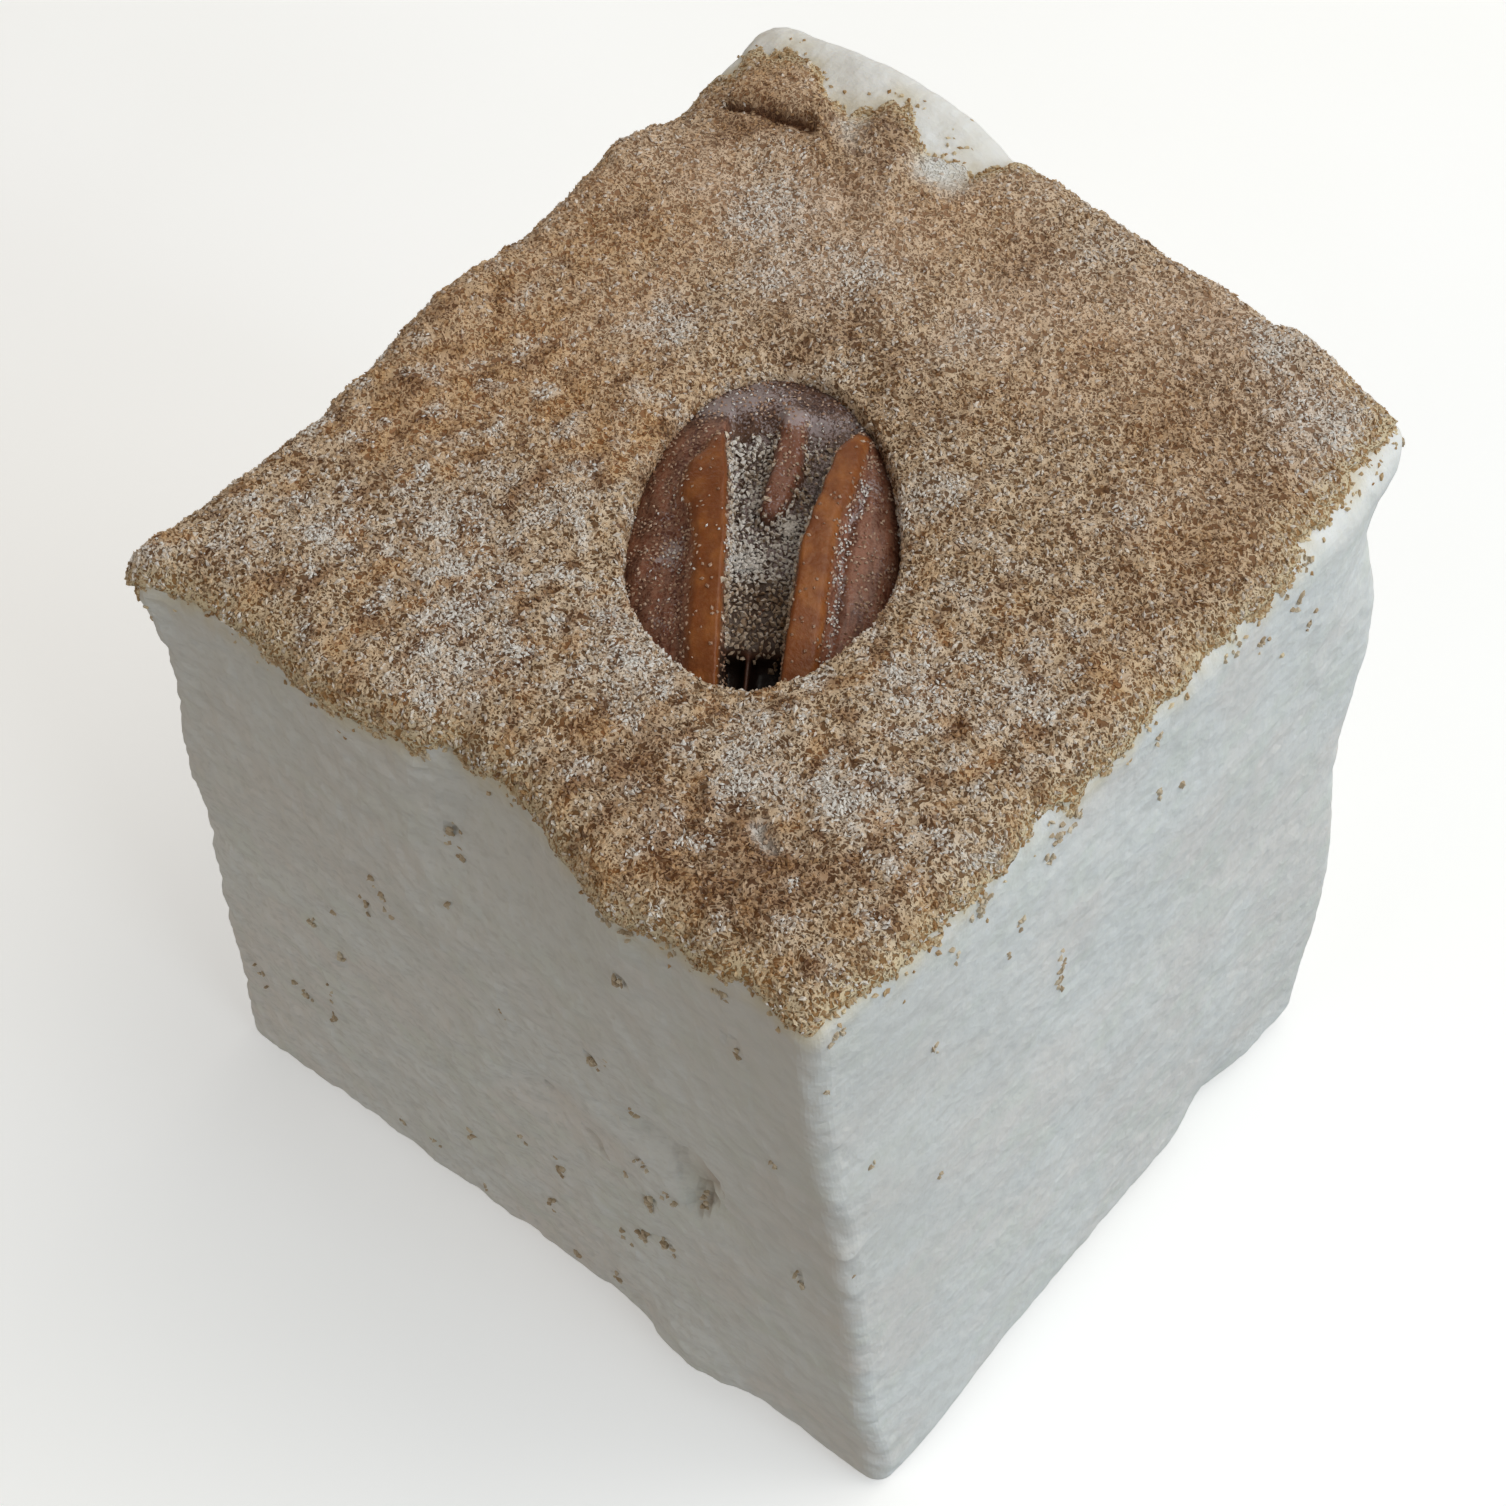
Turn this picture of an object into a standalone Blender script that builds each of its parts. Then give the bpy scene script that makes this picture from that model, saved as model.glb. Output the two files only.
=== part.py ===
"""A hand-cut marshmallow: a white block under a skin of brown sugar, with half a pecan pressed into it.

Metres, +Z up. The block stands on z = 0 with its cut sides towards X and Y, and the middle of its box is over
the origin. Shapes start as a true box and are then settled onto the block as it was cut, with its leaning
sides, soft waves and dents, so that the white, the sugar skin and the pocket always fit each other.
"""

import math

import bmesh
import bpy
from mathutils import Matrix, Vector, noise

# The true box that everything is drawn on
WIDTH = 0.0500
DEPTH = 0.0494
HEIGHT = 0.0547
EDGE_ROUND = 0.0022
FRONT_ROUND = 0.0012
CENTRING = Vector((0.00030, -0.00106, 0.0))

# Where the eight corners of the cut block are, from the middle of its underside
CORNERS = {
    (0, 0, 0): Vector((-0.0276, -0.0260, 0.0)),
    (1, 0, 0): Vector((0.0264, -0.0228, 0.0)),
    (1, 1, 0): Vector((0.0262, 0.0220, 0.0)),
    (0, 1, 0): Vector((-0.0262, 0.0252, 0.0)),
    (0, 0, 1): Vector((-0.0225, -0.0264, 0.0540)),
    (1, 0, 1): Vector((0.0230, -0.0244, 0.0551)),
    (1, 1, 1): Vector((0.0243, 0.0257, 0.0553)),
    (0, 1, 1): Vector((-0.0246, 0.0283, 0.0560)),
}

# Soft swells and hollows that the knife and the tray left: middle on the true box, reach, and push
SWELLS = (
    (Vector((-0.025, -0.025, 0.054)), 0.0030, Vector((-0.0010, -0.0006, 0.0))),
    (Vector((-0.025, -0.025, 0.044)), 0.0060, Vector((0.0004, 0.0004, 0.0))),
    (Vector((-0.025, -0.025, 0.028)), 0.0120, Vector((0.0003, 0.0003, 0.0))),
    (Vector((0.025, 0.025, 0.0475)), 0.0055, Vector((-0.0016, -0.0016, 0.0))),
    (Vector((0.025, 0.025, 0.055)), 0.0025, Vector((0.0004, 0.0009, 0.0003))),
    (Vector((0.025, 0.025, 0.030)), 0.0080, Vector((-0.0007, -0.0007, 0.0))),
    (Vector((0.025, 0.025, 0.013)), 0.0080, Vector((0.0004, 0.0004, 0.0))),
    (Vector((0.012, -0.025, 0.002)), 0.0036, Vector((0.0, -0.0010, 0.0))),
    (Vector((0.0075, -0.025, 0.003)), 0.0018, Vector((0.0, 0.0006, 0.0))),
    (Vector((0.025, -0.018, 0.002)), 0.0060, Vector((0.0004, 0.0, 0.0))),
    (Vector((0.025, 0.013, 0.001)), 0.0030, Vector((-0.0008, 0.0, 0.0))),
    (Vector((-0.025, -0.022, 0.055)), 0.0030, Vector((0.0, 0.0, 0.0006))),
    (Vector((-0.025, -0.012, 0.055)), 0.0040, Vector((0.0, 0.0, -0.0004))),
    (Vector((-0.025, -0.003, 0.055)), 0.0035, Vector((-0.0002, 0.0, 0.0008))),
    (Vector((-0.025, 0.0035, 0.055)), 0.0025, Vector((0.0, 0.0, -0.0007))),
    (Vector((-0.025, 0.011, 0.055)), 0.0030, Vector((-0.0003, 0.0, 0.0006))),
    (Vector((-0.025, 0.016, 0.055)), 0.0037, Vector((0.0, 0.0, -0.0018))),
    (Vector((-0.013, 0.025, 0.055)), 0.0080, Vector((0.0, 0.0007, 0.0016))),
    (Vector((-0.009, 0.025, 0.055)), 0.0030, Vector((0.0, 0.0005, 0.0003))),
)
# How far the top front edge runs back between its corners, in millimetres: place along it, and how far
FRONT_EDGE_IN = ((-25, 0), (-21, 1.4), (-16, 1.8), (-9.5, 1.3), (-5, 1.7), (-1, 2.9), (4, 2.4), (8, 1.5),
                 (11.5, 0.4), (15, 0.7), (19, 0.6), (25, 0))
WAVE_LENGTH = 0.009
WAVE_HEIGHT = 0.00035
WAVE_SHIFTS = (Vector((0.0, 0.0, 0.0)), Vector((17.3, 5.1, 9.7)), Vector((8.9, 21.7, 3.3)))
FLAT_BASE = 0.004

# The dents and the torn pocket on the side towards -Y: middle on the true box, reach, depth
DENTS = (
    (Vector((0.0030, -0.0247, 0.0250)), 0.0026, 0.0009),
    (Vector((0.0125, -0.0247, 0.0285)), 0.0024, 0.0014),
    (Vector((0.0150, -0.0247, 0.0250)), 0.0020, 0.0010),
)

# The white block
BODY_CELLS = 17
EDGE_CROWDING = 1.30

# The sugar skin: its clearance and thickness, and its grain-sized bumps
GAP = 0.0003
CRUST = 0.0009
CRUST_EDGE = 0.0004
GRAIN_BUMP = 0.0003
CRUST_CELLS = 40
CRUST_STAND = GAP + CRUST
BODY_TOP = HEIGHT - CRUST_STAND

# How far the skin runs down past each top edge, along that edge from its left end: a minus stops it short
SKIRT_FRONT = ((-25, 0.4), (-21, 0.4), (-15.5, 0.5), (-9.5, 0.7), (-6, 0.8), (-1, 0.4), (4, 0.7), (8, 0.7),
               (11.5, 0.9), (14, 0.5), (18, 0.5), (25, -0.2))
SKIRT_RIGHT = ((-25, -0.4), (-19, 0.2), (-15, 0.6), (-11.5, 1.1), (-8.4, 0.1), (-3.5, 1.1), (2, 0.3),
               (5, -0.1), (10.5, 0.4), (14.5, -0.8), (17.5, -1.4), (22.5, -1.8), (25, -1.2))
SKIRT_BACK = ((-25, -3.2), (-22.5, -3.6), (-19.5, -5.2), (-17.5, -5.4), (-14.5, -3.3), (-11, -4.4),
              (-7, -3.8), (-4, -0.8), (0, 1.2), (8, 2.0), (16, 1.0), (25, -1.2))
SKIRT_LEFT = ((-25, 0.4), (-18, 1.4), (-8, 0.9), (0, 1.6), (9, 1.0), (14, 1.6), (18, 0.4), (21, -1.2),
              (25, -3.2))
RAGGED = 0.0007
SKIRT_STARTS = 0.66

# The crack in the sugar beside the raised back corner
CRACK_ENDS = (Vector((-0.0213, 0.0169, 0.0)), Vector((-0.0152, 0.0177, 0.0)))
CRACK_REACH = 0.0011

# The pecan half: shown face up, its near end tucked under the sugar
NUT_LENGTH = 0.0254
NUT_WIDTH = 0.0150
NUT_BELLY = 0.0044
NUT_DOME = 0.0026
NEAR_TAPER = 0.20
NEAR_SLOPE = 0.45
RIDGE_HEIGHT = 0.0007
CHANNEL_DEPTH = 0.0016
TONGUE_HEIGHT = 0.0011
EDGE_SOFTNESS = 0.0007
NUT_ROUND, NUT_ALONG = 56, 24
NUT_PLACE = Vector((0.0024, -0.0040, 0.0519))
NUT_HEADING = math.radians(125.8)
NUT_TILT = math.radians(6.0)

# Where its two ridges and the tongue between them have their edges, in millimetres: place along, place across
LEFT_OUTER = ((-9, 3.3), (-5, 3.4), (0, 3.5), (2, 3.9), (3.5, 4.6), (5.2, 4.3), (6.5, 3.5), (7.6, 3.1))
LEFT_INNER = ((-9, 1.45), (0, 1.7), (3.5, 2.0), (7.6, 2.5))
RIGHT_INNER = ((-9, -1.5), (0, -1.95), (2, -2.35), (4, -2.8), (6, -3.2), (8.9, -4.4))
RIGHT_OUTER = ((-9, -3.4), (0, -3.8), (2, -3.95), (4, -4.55), (6, -4.9), (8.9, -5.2))
TONGUE_LEFT = ((2.3, 0.1), (3.2, 0.35), (4.2, 0.25), (6, 0.0), (9.6, -0.35))
TONGUE_RIGHT = ((2.3, -0.35), (3.2, -0.9), (4.2, -1.25), (6, -1.6), (9.6, -1.6))
LEFT_STOPS, RIGHT_STOPS = 0.0080, 0.0090
RIDGE_RUNOUT = 0.0014
TONGUE_STARTS, TONGUE_STOPS = 0.0022, 0.0100

# The pocket that it sits in
POCKET_GAP = 0.00035
MOUTH_GAP = 0.0001
MOUTH_NEAR_END = -0.71
MOUTH_HEIGHT = 0.008
LIP_REACH = 0.0022

BODY_FINISH = ((0.80, 0.79, 0.75), 0.85)
CRUST_FINISH = ((0.34, 0.22, 0.13), 0.80)
NUT_FINISH = ((0.19, 0.060, 0.022), 0.42)


def smooth(x):
    """0 below 0, 1 above 1, and a soft step between."""
    x = min(1.0, max(0.0, x))
    return x * x * (3.0 - 2.0 * x)


def bell(distance, reach):
    return math.exp(-((distance / reach) ** 2))


def along(table, place):
    """Reads a table in millimetres at a place along an edge in metres, and gives metres."""
    place *= 1000
    for (x0, y0), (x1, y1) in zip(table, table[1:]):
        if place <= x1:
            share = (place - x0) / (x1 - x0)
            return (y0 + (y1 - y0) * smooth(share)) / 1000
    return table[-1][1] / 1000


def settle(p):
    """Carries a point of the true box onto the block as it was cut."""
    u, v, w = p.x / WIDTH + 0.5, p.y / DEPTH + 0.5, p.z / HEIGHT
    place = Vector((0.0, 0.0, 0.0))
    for (i, j, k), corner in CORNERS.items():
        place += corner * ((u if i else 1 - u) * (v if j else 1 - v) * (w if k else 1 - w))
    for middle, reach, push in SWELLS:
        place += push * bell((p - middle).length, reach)
    for middle, reach, depth in DENTS:
        place.y += depth * bell((p - middle).length, reach)
    near_front_top = smooth((p.z - 0.038) / 0.016) * smooth((-p.y - 0.004) / 0.018)
    place.y += along(FRONT_EDGE_IN, p.x) * near_front_top
    wave = Vector([noise.noise(p / WAVE_LENGTH + shift) for shift in WAVE_SHIFTS]) * WAVE_HEIGHT
    above_base = smooth(p.z / FLAT_BASE)
    place += Vector((wave.x * above_base, wave.y * above_base, wave.z * smooth(p.z / HEIGHT * 2 - 1)))
    return place + CENTRING


def edge_radius(p):
    """The top front edge and the upright front edge, where +X meets -Y, are crisper than the others."""
    to_front = smooth((-p.y / DEPTH * 2 - 0.6) / 0.3)
    to_right = smooth((p.x / WIDTH * 2 - 0.6) / 0.3)
    to_top = smooth((p.z / BODY_TOP - 0.7) / 0.2) * smooth((1.0 + p.x / WIDTH * 2) / 0.2)
    return EDGE_ROUND + (FRONT_ROUND - EDGE_ROUND) * to_front * max(to_top, to_right)


def rounded(p, stand=0.0):
    """The true box has sharp edges: this rounds them, and moves the point out by stand."""
    sides = (WIDTH / 2, DEPTH / 2, BODY_TOP / 2)
    middle = Vector((0.0, 0.0, BODY_TOP / 2))
    radius = edge_radius(p)
    from_middle = p - middle
    core = Vector([max(radius - s, min(s - radius, c)) for s, c in zip(sides, from_middle)])
    return middle + core + (from_middle - core).normalized() * (radius + stand)


def finish(name, look):
    """One sub-part's own material."""
    colour, roughness = look
    material = bpy.data.materials.new(name)
    material.use_nodes = True
    shader = material.node_tree.nodes["Principled BSDF"]
    shader.inputs["Base Color"].default_value = (*colour, 1.0)
    shader.inputs["Roughness"].default_value = roughness
    shader.inputs["Metallic"].default_value = 0.0
    return material


def add_object(name, bm, collection, look=None):
    """Turns a finished bmesh into an object of the collection."""
    mesh = bpy.data.meshes.new(name)
    bm.to_mesh(mesh)
    bm.free()
    mesh.shade_smooth()
    if look:
        mesh.materials.append(finish(name, look))
    obj = bpy.data.objects.new(name, mesh)
    collection.objects.link(obj)
    return obj


def crowd(s):
    """Spreads evenly spaced s (-1 to 1) so that the cells crowd towards the rounded edges."""
    return math.sin(s * EDGE_CROWDING) / math.sin(EDGE_CROWDING)


def marshmallow_block(collection):
    """The white block: a subdivided cube, rounded, then settled into its cut form on a flat base."""
    bm = bmesh.new()
    bmesh.ops.create_cube(bm, size=2.0)
    bmesh.ops.subdivide_edges(bm, edges=bm.edges[:], cuts=BODY_CELLS - 1, use_grid_fill=True)
    for vert in bm.verts:
        x, y, z = (crowd(c) for c in vert.co)
        on_box = Vector((x * WIDTH / 2, y * DEPTH / 2, (z + 1) * BODY_TOP / 2))
        vert.co = settle(rounded(on_box))
    under = [face for face in bm.faces if all(vert.co.z < 1e-6 for vert in face.verts)]
    bmesh.ops.dissolve_faces(bm, faces=under)
    return add_object("marshmallow_body", bm, collection, BODY_FINISH)


def skirt(edge):
    """How far past the top edge the sugar runs at this point of the edge."""
    if abs(edge.x) / WIDTH > abs(edge.y) / DEPTH:
        drop = along(SKIRT_RIGHT if edge.x > 0 else SKIRT_LEFT, edge.y)
    else:
        drop = along(SKIRT_BACK if edge.y > 0 else SKIRT_FRONT, edge.x)
    return drop + RAGGED * noise.noise(edge / 0.0021)


def over_top(x, y):
    """Lays a flat sheet (-1 to 1) over the top of the true box, its margin hanging down by the skirt."""
    square = max(abs(x), abs(y))
    if square == 0.0:
        return Vector((0.0, 0.0, BODY_TOP))
    edge = Vector((x / square * WIDTH / 2, y / square * DEPTH / 2, BODY_TOP))
    outer = max(0.0, (square - SKIRT_STARTS) / (1.0 - SKIRT_STARTS))
    reach = square * WIDTH / 2 + outer * skirt(edge)
    if reach <= WIDTH / 2:
        return Vector((edge.x * 2 * reach / WIDTH, edge.y * 2 * reach / WIDTH, BODY_TOP))
    return edge - Vector((0.0, 0.0, reach - WIDTH / 2))


def from_crack(p):
    """The distance from the line of the crack, seen from above."""
    start, end = CRACK_ENDS
    run = end - start
    flat = Vector((p.x, p.y, 0.0))
    share = min(1.0, max(0.0, (flat - start).dot(run) / run.length_squared))
    return (flat - start - run * share).length


def nut_frame():
    """Stands the pecan in its pocket: far end up, near end tucked down."""
    turned = Matrix.Rotation(NUT_HEADING, 4, "Z") @ Matrix.Rotation(-NUT_TILT, 4, "Y")
    return Matrix.Translation(NUT_PLACE + CENTRING) @ turned


def nut_taper(x):
    """The near end is narrower than the far end."""
    return 1.0 - NEAR_TAPER * smooth(-x)


def nut_slope(x):
    """The face slopes down to the near end."""
    return 1.0 - NEAR_SLOPE * smooth((-x - 0.3) / 0.7)


def from_mouth(p):
    """How far a point is outside the pocket's mouth, seen from above."""
    local = nut_frame().inverted() @ p
    x, y = local.x / (NUT_LENGTH / 2), local.y / (NUT_WIDTH / 2)
    x = max(x, x / -MOUTH_NEAR_END if x < 0 else x)
    return (math.hypot(x, y / nut_taper(x)) - 1.0) * NUT_WIDTH / 2


def sugar_skin(collection):
    """The crust: a sheet laid over the block's top, thickened outwards by as much as the sugar is deep."""
    bm = bmesh.new()
    bmesh.ops.create_grid(bm, x_segments=CRUST_CELLS, y_segments=CRUST_CELLS, size=1.0)
    fullness = []
    for vert in bm.verts:
        flat = vert.co.copy()
        margin = (1.0 - max(abs(flat.x), abs(flat.y))) * WIDTH / 2
        vert.co = settle(rounded(over_top(flat.x, flat.y), GAP))
        depth = CRUST_EDGE + (CRUST - CRUST_EDGE) * smooth(margin / 0.003)
        depth *= 0.35 + 0.65 * smooth(from_mouth(vert.co) / LIP_REACH)
        depth += GRAIN_BUMP * noise.noise(vert.co / 0.0012) * smooth(margin / 0.001)
        depth *= 1.0 - 0.65 * bell(from_crack(vert.co - CENTRING), CRACK_REACH)
        fullness.append(max(depth, CRUST_EDGE / 2) / (CRUST + GRAIN_BUMP))
    crust = add_object("sugar_crust", bm, collection, CRUST_FINISH)
    group = crust.vertex_groups.new(name="fullness")
    for index, share in enumerate(fullness):
        group.add([index], min(1.0, share), "REPLACE")
    thick = crust.modifiers.new("sugar depth", "SOLIDIFY")
    thick.thickness = CRUST + GRAIN_BUMP
    thick.offset = 1.0
    thick.vertex_group = "fullness"
    return crust


def strip(across, low, high):
    """1 between two edges, 0 outside them, and a soft step at each."""
    return smooth((across - low) / EDGE_SOFTNESS + 0.5) * smooth((high - across) / EDGE_SOFTNESS + 0.5)


def nut_face(x, v, girth, across):
    """Height of the pecan's shown face: two ridges, the channel between them, the tongue in its far half."""
    place = x * NUT_LENGTH / 2
    rise = NUT_DOME * max(0.0, 1.0 - abs(v) ** 2.6) ** 0.6
    left = strip(across, along(LEFT_INNER, place), along(LEFT_OUTER, place))
    left *= smooth((LEFT_STOPS - place) / RIDGE_RUNOUT)
    right = strip(across, along(RIGHT_OUTER, place), along(RIGHT_INNER, place))
    right *= smooth((RIGHT_STOPS - place) / RIDGE_RUNOUT)
    rise += RIDGE_HEIGHT * max(left, right)
    channel = strip(across, along(RIGHT_INNER, place), along(LEFT_INNER, place))
    channel *= smooth((LEFT_STOPS + 0.002 - place) / 0.0025)
    rise -= CHANNEL_DEPTH * channel * (1.0 + 0.5 * smooth((-x - 0.35) / 0.3))
    tongue = strip(across, along(TONGUE_RIGHT, place), along(TONGUE_LEFT, place))
    tongue *= smooth((place - TONGUE_STARTS) / 0.001) * smooth((TONGUE_STOPS - place) / RIDGE_RUNOUT)
    rise += TONGUE_HEIGHT * tongue
    return rise * girth * nut_slope(x)


def pecan_half(collection):
    """Half a pecan: a sphere drawn out along X, its upper face carved and its belly plain."""
    bm = bmesh.new()
    bmesh.ops.create_uvsphere(bm, u_segments=NUT_ROUND, v_segments=NUT_ALONG, radius=1.0)
    for vert in bm.verts:
        y, z, x = vert.co
        girth = math.sqrt(max(0.0, 1.0 - x * x))
        v = y / girth if girth > 1e-6 else 0.0
        across = v * nut_taper(x) * girth ** 0.86 * NUT_WIDTH / 2
        belly = NUT_BELLY * math.sqrt(max(0.0, 1 - v * v)) * girth
        rise = nut_face(x, v, girth, across) if z > 0 else -belly
        vert.co = Vector((x * NUT_LENGTH / 2, across, rise))
    bmesh.ops.transform(bm, matrix=nut_frame(), verts=bm.verts[:])
    bmesh.ops.recalc_face_normals(bm, faces=bm.faces[:])
    return add_object("pecan_half", bm, collection, NUT_FINISH)


def pocket_cutter(collection):
    """The room that the nut takes up, with its clearance."""
    bm = bmesh.new()
    bmesh.ops.create_uvsphere(bm, u_segments=36, v_segments=20, radius=1.0)
    for vert in bm.verts:
        y, z, x = vert.co
        girth = math.sqrt(max(0.0, 1.0 - x * x))
        y = y * nut_taper(x) * max(girth, 0.02) ** -0.14
        tall = (NUT_DOME + RIDGE_HEIGHT + POCKET_GAP) * nut_slope(x) if z > 0 else NUT_BELLY
        vert.co = Vector((x * (NUT_LENGTH / 2 + POCKET_GAP), y * (NUT_WIDTH / 2 + POCKET_GAP),
                          z * (tall + POCKET_GAP)))
    bmesh.ops.transform(bm, matrix=nut_frame(), verts=bm.verts[:])
    bmesh.ops.recalc_face_normals(bm, faces=bm.faces[:])
    return add_object("pocket_cutter", bm, collection)


def mouth_cutter(collection):
    """The pocket's open mouth: straight up round the nut, but stopping short of its tucked near end."""
    bm = bmesh.new()
    bmesh.ops.create_cone(bm, cap_ends=True, segments=56, radius1=1.0, radius2=1.0, depth=2.0)
    for vert in bm.verts:
        x, y, z = vert.co
        y *= nut_taper(x)
        if x < 0:
            x *= -MOUTH_NEAR_END
            y *= 1.0 + 0.10 * smooth(-x)
        vert.co = Vector((x * (NUT_LENGTH / 2 + MOUTH_GAP), y * (NUT_WIDTH / 2 + MOUTH_GAP),
                          MOUTH_HEIGHT if z > 0 else -0.0002))
    bmesh.ops.transform(bm, matrix=nut_frame(), verts=bm.verts[:])
    bmesh.ops.recalc_face_normals(bm, faces=bm.faces[:])
    return add_object("mouth_cutter", bm, collection)


def combine(obj, other, operation):
    """A Boolean of one object with another."""
    boolean = obj.modifiers.new(other.name, "BOOLEAN")
    boolean.operation = operation
    boolean.solver = "EXACT"
    boolean.object = other


def new_collection(name):
    collection = bpy.data.collections.new(name)
    bpy.context.scene.collection.children.link(collection)
    return collection


def build():
    for obj in list(bpy.data.objects):
        bpy.data.objects.remove(obj)
    parts = new_collection("pecan_marshmallow")
    tools = new_collection("cutters")
    pocket = pocket_cutter(tools)
    mouth = mouth_cutter(tools)
    for cutter in (pocket, mouth):
        cutter.hide_render = True
        cutter.display_type = "WIRE"
    combine(pocket, mouth, "UNION")
    combine(marshmallow_block(parts), pocket, "DIFFERENCE")
    combine(sugar_skin(parts), pocket, "DIFFERENCE")
    pecan_half(parts)


build()
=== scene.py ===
# %% [markdown]
# A pecan marshmallow, dressed.
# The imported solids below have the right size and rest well, but they are plain and coarse. Each of them gets a
# finer piece in its place: the white foam block, the bed of brown sugar with its thousands of grains, and the pecan
# half. All are drawn from the same sizes as the solids, so nothing has to be fitted afterwards. Lengths are metres.

# %% Load the solids
import math

import bmesh
import bpy
import numpy as np
from mathutils import Matrix, Vector, noise


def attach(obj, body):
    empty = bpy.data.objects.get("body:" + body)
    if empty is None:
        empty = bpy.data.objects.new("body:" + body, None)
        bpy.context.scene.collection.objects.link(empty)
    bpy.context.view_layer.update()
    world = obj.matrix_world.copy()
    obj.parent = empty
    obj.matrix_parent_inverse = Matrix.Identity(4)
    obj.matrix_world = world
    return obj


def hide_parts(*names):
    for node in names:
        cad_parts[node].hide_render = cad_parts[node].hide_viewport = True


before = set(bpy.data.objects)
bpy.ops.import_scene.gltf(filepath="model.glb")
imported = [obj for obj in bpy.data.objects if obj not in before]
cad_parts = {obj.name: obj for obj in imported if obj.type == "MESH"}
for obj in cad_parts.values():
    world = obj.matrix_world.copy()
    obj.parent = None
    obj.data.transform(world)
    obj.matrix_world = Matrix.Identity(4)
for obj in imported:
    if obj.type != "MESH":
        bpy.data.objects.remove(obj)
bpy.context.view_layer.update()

MM = 0.001
scene = bpy.context.scene
print("solids:", ", ".join(sorted(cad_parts)))

# %% [markdown]
# The sizes of the cut block.
# A cook cuts such a block from a slab with a long knife, so it is nearly a box, but its sides lean, its corners
# are soft, and every face has slow waves. It could be sculpted by hand. Here it is worked out instead: a true box
# is the drawing board, and one function settles any point of it onto the block as it was cut. The white, the
# sugar and every crumb go through that same function, so they always fit each other. It also made the solids.

# %% Sizes of the true box and how it was cut
WIDTH, DEPTH, HEIGHT = 0.0500, 0.0494, 0.0547
BOX = np.array([WIDTH, DEPTH, HEIGHT])
EDGE_ROUND, FRONT_ROUND = 0.0022, 0.0012
CENTRING = np.array([0.00030, -0.00106, 0.0])
GAP = 0.0003
CRUST = 0.0009
BODY_TOP = HEIGHT - GAP - CRUST
CORNERS = {
    (0, 0, 0): (-0.0276, -0.0260, 0.0), (1, 0, 0): (0.0264, -0.0228, 0.0),
    (1, 1, 0): (0.0262, 0.0220, 0.0), (0, 1, 0): (-0.0262, 0.0252, 0.0),
    (0, 0, 1): (-0.0225, -0.0264, 0.0540), (1, 0, 1): (0.0230, -0.0244, 0.0551),
    (1, 1, 1): (0.0243, 0.0257, 0.0553), (0, 1, 1): (-0.0246, 0.0283, 0.0560),
}
# Soft swells and hollows: middle on the true box, reach, push
SWELLS = (
    ((-0.025, -0.025, 0.054), 0.0030, (-0.0010, -0.0006, 0.0)),
    ((-0.025, -0.025, 0.044), 0.0060, (0.0004, 0.0004, 0.0)),
    ((-0.025, -0.025, 0.028), 0.0120, (0.0003, 0.0003, 0.0)),
    ((0.025, 0.025, 0.0475), 0.0055, (-0.0016, -0.0016, 0.0)),
    ((0.025, 0.025, 0.055), 0.0025, (0.0004, 0.0009, 0.0003)),
    ((0.025, 0.025, 0.030), 0.0080, (-0.0007, -0.0007, 0.0)),
    ((0.025, 0.025, 0.013), 0.0080, (0.0004, 0.0004, 0.0)),
    ((0.012, -0.025, 0.002), 0.0036, (0.0, -0.0010, 0.0)),
    ((0.0075, -0.025, 0.003), 0.0018, (0.0, 0.0006, 0.0)),
    ((0.025, -0.018, 0.002), 0.0060, (0.0004, 0.0, 0.0)),
    ((0.025, 0.013, 0.001), 0.0030, (-0.0008, 0.0, 0.0)),
    ((-0.025, -0.022, 0.055), 0.0030, (0.0, 0.0, 0.0006)),
    ((-0.025, -0.012, 0.055), 0.0040, (0.0, 0.0, -0.0004)),
    ((-0.025, -0.003, 0.055), 0.0035, (-0.0002, 0.0, 0.0008)),
    ((-0.025, 0.0035, 0.055), 0.0025, (0.0, 0.0, -0.0007)),
    ((-0.025, 0.011, 0.055), 0.0030, (-0.0003, 0.0, 0.0006)),
    ((-0.025, 0.016, 0.055), 0.0037, (0.0, 0.0, -0.0018)),
    ((-0.013, 0.025, 0.055), 0.0080, (0.0, 0.0007, 0.0016)),
    ((-0.009, 0.025, 0.055), 0.0030, (0.0, 0.0005, 0.0003)),
)
# Dents on the side towards -Y: middle, reach, depth
DENTS = (
    ((0.0030, -0.0247, 0.0250), 0.0026, 0.0009),
    ((0.0125, -0.0247, 0.0285), 0.0024, 0.0014),
    ((0.0150, -0.0247, 0.0250), 0.0020, 0.0010),
)
# How far the top front edge runs back between its corners, in millimetres: place along it, and how far
FRONT_EDGE_IN = ((-25, 0), (-21, 1.4), (-16, 1.8), (-9.5, 1.3), (-5, 1.7), (-1, 2.9), (4, 2.4), (8, 1.5),
                 (11.5, 0.4), (15, 0.7), (19, 0.6), (25, 0))
WAVE_LENGTH = 0.009
WAVE_HEIGHT = 0.00035
WAVE_SHIFTS = ((0.0, 0.0, 0.0), (17.3, 5.1, 9.7), (8.9, 21.7, 3.3))
FLAT_BASE = 0.004
print(f"true box {WIDTH / MM:.1f} x {DEPTH / MM:.1f} x {HEIGHT / MM:.1f} mm")


# %% Soft steps, bells and noise, on whole arrays of points
def smooth(x):
    """0 below 0, 1 above 1, and a soft step between."""
    x = np.clip(x, 0.0, 1.0)
    return x * x * (3.0 - 2.0 * x)


def bell(distance, reach):
    return np.exp(-((distance / reach) ** 2))


def distance(points, middle):
    return np.linalg.norm(points - np.asarray(middle), axis=1)


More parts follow.
